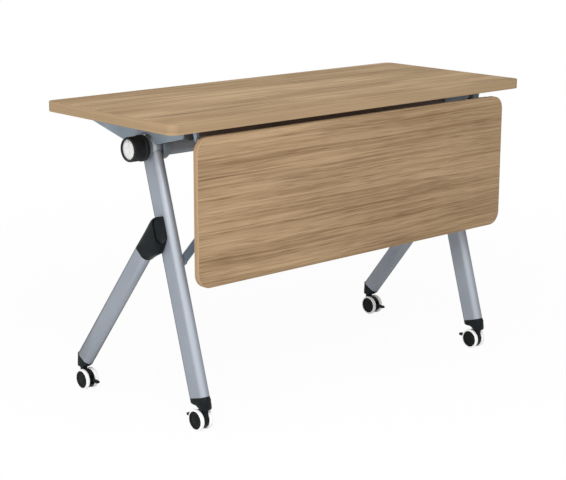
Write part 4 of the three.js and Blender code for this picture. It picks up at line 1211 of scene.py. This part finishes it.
@dataclass
class PanelHinge:
    """The hanger under the top and the leaf on the panel, at one end."""

    side: Side
    axis: Point = (-215 * MM, 700 * MM)
    x: float = 490 * MM
    ear: float = 5 * MM
    eye: float = 7 * MM
    under_top: float = 724.7 * MM
    plate: float = 4 * MM
    plate_half: float = 12 * MM
    plate_front: float = -204 * MM
    plate_rear: float = -178 * MM
    strap_inner: float = 486 * MM
    strap_outer: float = 494 * MM
    strap_lean: float = 9 * MM
    strap_low: float = 694 * MM
    strap_front: float = -200 * MM
    strap_depth: float = 13 * MM
    pin_radius: float = 3 * MM
    leaf_back: float = -234.7 * MM
    leaf_face: float = -231.7 * MM
    leaf_half: float = 17 * MM
    leaf_low: float = 626 * MM
    leaf_high: float = 686 * MM
    arm: float = 4.5 * MM
    screw_radius: float = 4 * MM
    screw_rows: tuple[float, ...] = (636 * MM, 676 * MM)
    screw_offset: float = 11 * MM

    def build(self) -> None:
        """Builds the hanger, the leaf and its screws."""
        self.build_hanger()
        self.build_leaf()
        self.build_screws()

    def build_hanger(self) -> None:
        """Builds the plate under the top, the strap that slants inwards from it, and the eye with its pin."""
        y, z = self.axis
        half = self.ear / 2
        hanger = Blank()
        hanger.plate([
            (self.strap_outer, self.under_top), (self.strap_outer - self.strap_lean, self.strap_low),
            (self.strap_inner - self.strap_lean, self.strap_low), (self.strap_inner, self.under_top),
        ], self.strap_front, self.strap_front + self.strap_depth)
        hanger.slab([
            (self.strap_front + 1 * MM, z + 4 * MM), (self.strap_front + 1 * MM, self.strap_low),
            (y, z - self.eye), (y - self.eye, z - 2 * MM), (y - self.eye, z + 2 * MM), (y - 2 * MM, z + self.eye),
        ], self.x - half, self.x + half)
        hanger.block((self.x - self.plate_half, self.plate_front, self.under_top - self.plate),
                     (self.x + self.plate_half, self.plate_rear, self.under_top))
        hanger.soften(0.7 * MM, 3, 40.0)
        hanger.turned([
            (0.0, self.x - half - 2 * MM), (self.pin_radius + 1.5 * MM, self.x - half - 2 * MM),
            (self.pin_radius + 1.5 * MM, self.x), (self.pin_radius, self.x),
            (self.pin_radius, self.x + half + self.arm), (0.0, self.x + half + self.arm),
        ], Matrix.Translation((0, y, z)), 24)
        node = f"panel_hanger_{self.side.label}"
        hanger.piece(f"fine_{node}", GREY_STEEL, "top", [node], self.side)

    def build_leaf(self) -> None:
        """Builds the leaf on the panel with the arm that turns on the hanger's pin."""
        y, z = self.axis
        inner = self.x + self.ear / 2 + 0.3 * MM
        leaf = Blank()
        bore = self.pin_radius + 0.3 * MM
        eye = Matrix.Translation((0, y, z))
        leaf.turned([
            (bore, inner), (self.eye, inner), (self.eye, inner + self.arm), (bore, inner + self.arm), (bore, inner),
        ], eye, 32)
        leaf.slab([
            (y - 4 * MM, z - 5 * MM), (self.leaf_back, z - 16 * MM), (self.leaf_back, self.leaf_high - 24 * MM),
            (self.leaf_face, self.leaf_high - 24 * MM), (y + 4 * MM, z - 5 * MM),
        ], inner, inner + self.arm)
        leaf.block((self.x - self.leaf_half, self.leaf_back, self.leaf_low),
                   (self.x + self.leaf_half, self.leaf_face, self.leaf_high))
        leaf.soften(0.5 * MM, 2, 50.0)
        node = f"panel_hinge_{self.side.label}"
        leaf.piece(f"fine_{node}", BLACK_STEEL, "panel", [node], self.side)

    def build_screws(self) -> None:
        """Builds the round screw heads on the leaf."""
        screws = Blank()
        for offset in (-self.screw_offset, self.screw_offset):
            for row in self.screw_rows:
                spot = Matrix.Translation((self.x + offset, self.leaf_face, row))
                screws.turned([
                    (0.0, 0.1 * MM), (self.screw_radius, 0.1 * MM), (self.screw_radius * 0.9, 1.2 * MM),
                    (self.screw_radius * 0.5, 2.0 * MM), (self.screw_radius * 0.4, 1.3 * MM), (0.0, 1.3 * MM),
                ], spot @ Matrix.Rotation(math.pi / 2, 4, "Z"), 24)
        screws.piece(f"leaf_screws_{self.side.label}", BARE_STEEL, "panel", (), self.side)


@dataclass
class ReleaseKnob:
    """The black knob with its white disc at one end."""

    side: Side
    pivot: Point = (-30 * MM, 661 * MM)
    back: float = 516.5 * MM
    front: float = 560 * MM
    radius: float = 30 * MM
    collar_radius: float = 32 * MM
    collar: float = 10 * MM
    recess: float = 5.9 * MM
    disc_radius: float = 24 * MM
    disc_back: float = 554.3 * MM
    disc_front: float = 557.3 * MM
    flutes: int = 30
    flute_depth: float = 1.1 * MM

    def build(self) -> None:
        """Builds the fluted knob and its disc."""
        place = Matrix.Translation((0, *self.pivot))
        knob = Blank()
        steps = self.flutes * 4
        rim = self.disc_radius + 0.4 * MM
        knob.turned([
            (0.0, self.back), (self.collar_radius - 0.8 * MM, self.back), (self.collar_radius, self.back + 1 * MM),
            (self.collar_radius, self.back + self.collar - 1 * MM),
            (self.collar_radius - 1 * MM, self.back + self.collar), (self.radius, self.back + self.collar + 0.6 * MM),
            (self.radius, self.front - 3.2 * MM), (self.radius - 0.5 * MM, self.front - 1.4 * MM),
            (self.radius - 2 * MM, self.front), (rim, self.front), (rim, self.front - self.recess),
            (0.0, self.front - self.recess),
        ], place, steps)
        self.flute(knob)
        node = f"knob_{self.side.label}"
        knob.piece(f"fine_{node}", KNOB_PLASTIC, "release", [node], self.side)

        disc = Blank()
        disc.turned([
            (0.0, self.disc_back), (self.disc_radius, self.disc_back), (self.disc_radius, self.disc_front - 1 * MM),
            (self.disc_radius - 1.2 * MM, self.disc_front - 0.25 * MM),
            (self.disc_radius * 0.6, self.disc_front), (0.0, self.disc_front),
        ], place, 96)
        node = f"knob_disc_{self.side.label}"
        disc.piece(f"fine_{node}", DIAL, "release", [node], self.side)

    def flute(self, knob: Blank) -> None:
        """Presses the flutes into the grip.

        Args:
            knob: The turned knob.
        """
        y, z = self.pivot
        for vert in knob.bm.verts:
            reach = math.hypot(vert.co.y - y, vert.co.z - z)
            on_grip = self.back + self.collar < vert.co.x < self.front - 1 * MM
            if on_grip and reach > self.radius - 1 * MM:
                angle = math.atan2(vert.co.z - z, vert.co.y - y)
                press = self.flute_depth * (0.5 - 0.5 * math.cos(angle * self.flutes)) / reach
                vert.co.y -= (vert.co.y - y) * press
                vert.co.z -= (vert.co.z - z) * press


@dataclass
class Caster:
    """A twin wheel caster with its brake lever."""

    place: str
    x: float
    stem_y: float
    trail: float
    axle_z: float = 26.5 * MM
    wheel_radius: float = 26.5 * MM
    wheel_inner: float = 8.4 * MM
    wheel_outer: float = 18.2 * MM
    tread: float = 4.2 * MM
    bore: float = 4.4 * MM
    cap: float = 1.9 * MM

    @property
    def axle(self) -> Matrix:
        """The frame of the axle, its x along the axle."""
        return Matrix.Translation((self.x, self.stem_y + self.trail, self.axle_z))

    def build(self) -> None:
        """Builds hood, lever, hubs and tyres."""
        self.build_hood()
        self.build_lever()
        for letter, sign in (("a", 1), ("b", -1)):
            self.build_wheel(letter, sign)

    def build_hood(self) -> None:
        """Softens a copy of the hood with its stem and axle."""
        node = f"caster_fork_{self.place}"
        hood = Blank()
        hood.take(node)
        hood.soften(0.8 * MM, 2, 50.0)
        hood.piece(f"fine_{node}", BLACK_PLASTIC, f"caster_{self.place}", [node])

    def build_lever(self) -> None:
        """Softens a copy of the brake lever."""
        node = f"brake_lever_{self.place}"
        lever = Blank()
        lever.take(node)
        lever.soften(1.0 * MM, 3, 50.0)
        lever.piece(f"fine_{node}", BLACK_PLASTIC, f"brake_{self.place}", [node])

    def build_wheel(self, letter: str, sign: int) -> None:
        """Builds one hub with its rings and one tyre.

        Args:
            letter: The wheel's letter.
            sign: Which side of the hood it is on.
        """
        inner, outer = self.wheel_inner, self.wheel_outer
        rim = self.wheel_radius - self.tread - 0.15 * MM
        turn = self.axle @ Matrix.Diagonal((sign, 1, 1, 1))
        hub = Blank()
        hub.turned([
            (0.0, outer - self.cap), (self.bore, outer - self.cap), (self.bore, inner), (rim, inner), (rim, outer - 0.5 * MM), (rim - 0.5 * MM, outer),
            (rim - 3.6 * MM, outer), (rim - 4.2 * MM, outer - 1.1 * MM), (11.5 * MM, outer - 1.4 * MM),
            (10.8 * MM, outer - 0.5 * MM), (9.6 * MM, outer - 0.3 * MM), (5.0 * MM, outer - 0.3 * MM),
            (0.0, outer - 0.2 * MM),
        ], turn, 64)
        node = f"wheel_hub_{self.place}_{letter}"
        hub.piece(f"fine_{node}", HUB_PLASTIC, f"wheel_{self.place}_{letter}", [node])

        tyre = Blank()
        seat = self.wheel_radius - self.tread
        tyre.turned([
            (seat, inner), (self.wheel_radius, inner), (self.wheel_radius, outer), (seat, outer), (seat, inner),
        ], turn, 72)
        far = self.wheel_radius - 1 * MM
        centre = self.axle.translation
        tyre.soften(3.0 * MM, 5, 50.0, lambda at: math.hypot(at.y - centre.y, at.z - centre.z) > far)
        node = f"tyre_{self.place}_{letter}"
        tyre.piece(f"fine_{node}", WHITE_TREAD, f"wheel_{self.place}_{letter}", [node])


@dataclass
class HiddenSteel:
    """The rod and pins inside, which keep their own shape."""

    nodes: tuple[str, ...] = ("release_rod", "lock_pin_left", "lock_pin_right")

    def dress(self) -> None:
        """Puts the turned steel finish on each solid."""
        for name in self.nodes:
            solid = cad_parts[name]
            for socket in solid.material_slots:
                socket.material = BARE_STEEL.material()
            log.info("%s: keeps its shape", name)


@dataclass
class Studio:
    """Floor, lights and camera."""

    eye: tuple[float, float, float] = (-2.6200, -2.8603, 1.2846)
    right: tuple[float, float, float] = (0.7433, -0.6690, 0.0022)
    up: tuple[float, float, float] = (0.1552, 0.1757, 0.9721)
    lens: float = 95.99
    sensor: float = 36.0
    floor_size: float = 60.0
    ambient: float = 0.62

    def build(self) -> None:
        """Sets the whole studio up."""
        self.set_camera()
        self.lay_floor()
        self.light_world()
        self.lamp("key", (-2.5, -2.8, 3.1), 2.2, 122.0)
        self.lamp("fill", (-3.4, -0.9, 0.5), 2.0, 26.0)
        bpy.context.scene.view_settings.view_transform = "Standard"

    def set_camera(self) -> None:
        """Puts the camera where the photograph was taken from."""
        data = bpy.data.cameras.new("camera")
        data.lens = self.lens
        data.sensor_width = self.sensor
        data.sensor_fit = "HORIZONTAL"
        data.clip_end = 200.0
        camera = bpy.data.objects.new("camera", data)
        right, up = Vector(self.right).normalized(), Vector(self.up)
        back = right.cross(up).normalized()
        up = back.cross(right)
        camera.matrix_world = Matrix((
            (right.x, up.x, back.x, self.eye[0]),
            (right.y, up.y, back.y, self.eye[1]),
            (right.z, up.z, back.z, self.eye[2]),
            (0, 0, 0, 1),
        ))
        bpy.context.scene.collection.objects.link(camera)
        bpy.context.scene.camera = camera

    @staticmethod
    def white_rays(bench: NodeBench) -> bpy.types.NodeSocket:
        """Gives 1 for what the camera, gloss and glass see, and 0 for light that bounces."""
        path = bench.add("LightPath").outputs
        direct = bench.math("MAXIMUM", path["Is Camera Ray"], path["Is Glossy Ray"])
        return bench.math("MAXIMUM", direct, path["Is Transmission Ray"])

    def lay_floor(self) -> None:
        """Lays the pale floor, which is white where it is lit and keeps a faint shadow."""
        sheet = bmesh.new()
        bmesh.ops.create_grid(sheet, x_segments=2, y_segments=2, size=self.floor_size / 2)
        mesh = bpy.data.meshes.new("studio_floor")
        sheet.to_mesh(mesh)
        sheet.free()
        floor = bpy.data.objects.new("studio_floor", mesh)
        bpy.context.scene.collection.objects.link(floor)
        material = bpy.data.materials.new("studio_floor")
        material.use_nodes = True
        bench = NodeBench(material.node_tree)
        nodes = material.node_tree.nodes
        nodes.remove(nodes["Principled BSDF"])
        matt = bench.add("BsdfDiffuse", {"Color": (0.95, 0.95, 0.95, 1.0)})
        white = bench.add("Emission", {"Color": (1.0, 1.0, 1.0, 1.0), "Strength": 1.0})
        place = bench.add("TexCoord").outputs["Object"]
        away = bench.vector_math("LENGTH", place).outputs["Value"]
        share = bench.math("MULTIPLY", self.white_rays(bench), bench.span(away, 0.9, 3.0, 0.94, 1.0))
        mixed = bench.add("MixShader", {0: share, 1: matt.outputs[0], 2: white.outputs[0]})
        bench.feed(nodes["Material Output"].inputs["Surface"], mixed.outputs[0])
        mesh.materials.append(material)

    def light_world(self) -> None:
        """Makes the surroundings white to the eye and a soft light to the table."""
        world = bpy.data.worlds.new("studio")
        world.use_nodes = True
        bpy.context.scene.world = world
        bench = NodeBench(world.node_tree)
        strength = bench.span(self.white_rays(bench), 0.0, 1.0, self.ambient, 1.0)
        sky = world.node_tree.nodes["Background"]
        sky.inputs["Color"].default_value = (1.0, 1.0, 1.0, 1.0)
        bench.feed(sky.inputs["Strength"], strength)

    def lamp(self, name: str, spot: tuple[float, float, float], size: float, power: float) -> None:
        """Hangs a soft square lamp that points at the table.

        Args:
            name: The lamp's name.
            spot: Where it hangs.
            size: Its edge.
            power: Its power in watts.
        """
        data = bpy.data.lights.new(name, "AREA")
        data.shape = "SQUARE"
        data.size = size
        data.energy = power
        lamp = bpy.data.objects.new(name, data)
        lamp.location = spot
        aim = Vector((0.0, 0.0, 0.45)) - Vector(spot)
        lamp.rotation_euler = aim.to_track_quat("-Z", "Y").to_euler()
        bpy.context.scene.collection.objects.link(lamp)


def main() -> None:
    """Builds the table piece by piece, then the studio."""
    logging.basicConfig(level=logging.INFO, format="%(message)s")
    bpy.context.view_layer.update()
    Studio().build()
    lying = Matrix.Translation((0, 0, 725 * MM))
    standing = Matrix(((1, 0, 0, 0), (0, 0, -1, -235 * MM), (0, 1, 0, 535 * MM), (0, 0, 0, 1)))
    Board("top_board", "top", "table_top", "top_edge_band", 1200 * MM, 500 * MM, 25 * MM, 22 * MM, 2 * MM,
          lying, TOP_WOOD, TOP_EDGE_WOOD).build()
    Board("front_panel", "panel", "modesty_panel", "panel_edge_band", 1056 * MM, 352 * MM, 15 * MM, 35 * MM,
          1.5 * MM, standing, PANEL_WOOD, PANEL_EDGE_WOOD).build()
    CrossTubes().build()
    for side in Side:
        LegFrame(side).build()
        FlipBracket(side).build()
        PanelHinge(side).build()
        ReleaseKnob(side).build()
        for row, x, stem_y, trail in (("front", 491 * MM, -220 * MM, 14 * MM),
                                      ("rear", 520.4 * MM, 236 * MM, -14 * MM)):
            Caster(f"{row}_{side.label}", side.value * x, stem_y, trail).build()
    HiddenSteel().dress()


if __name__ == "__main__":
    main()
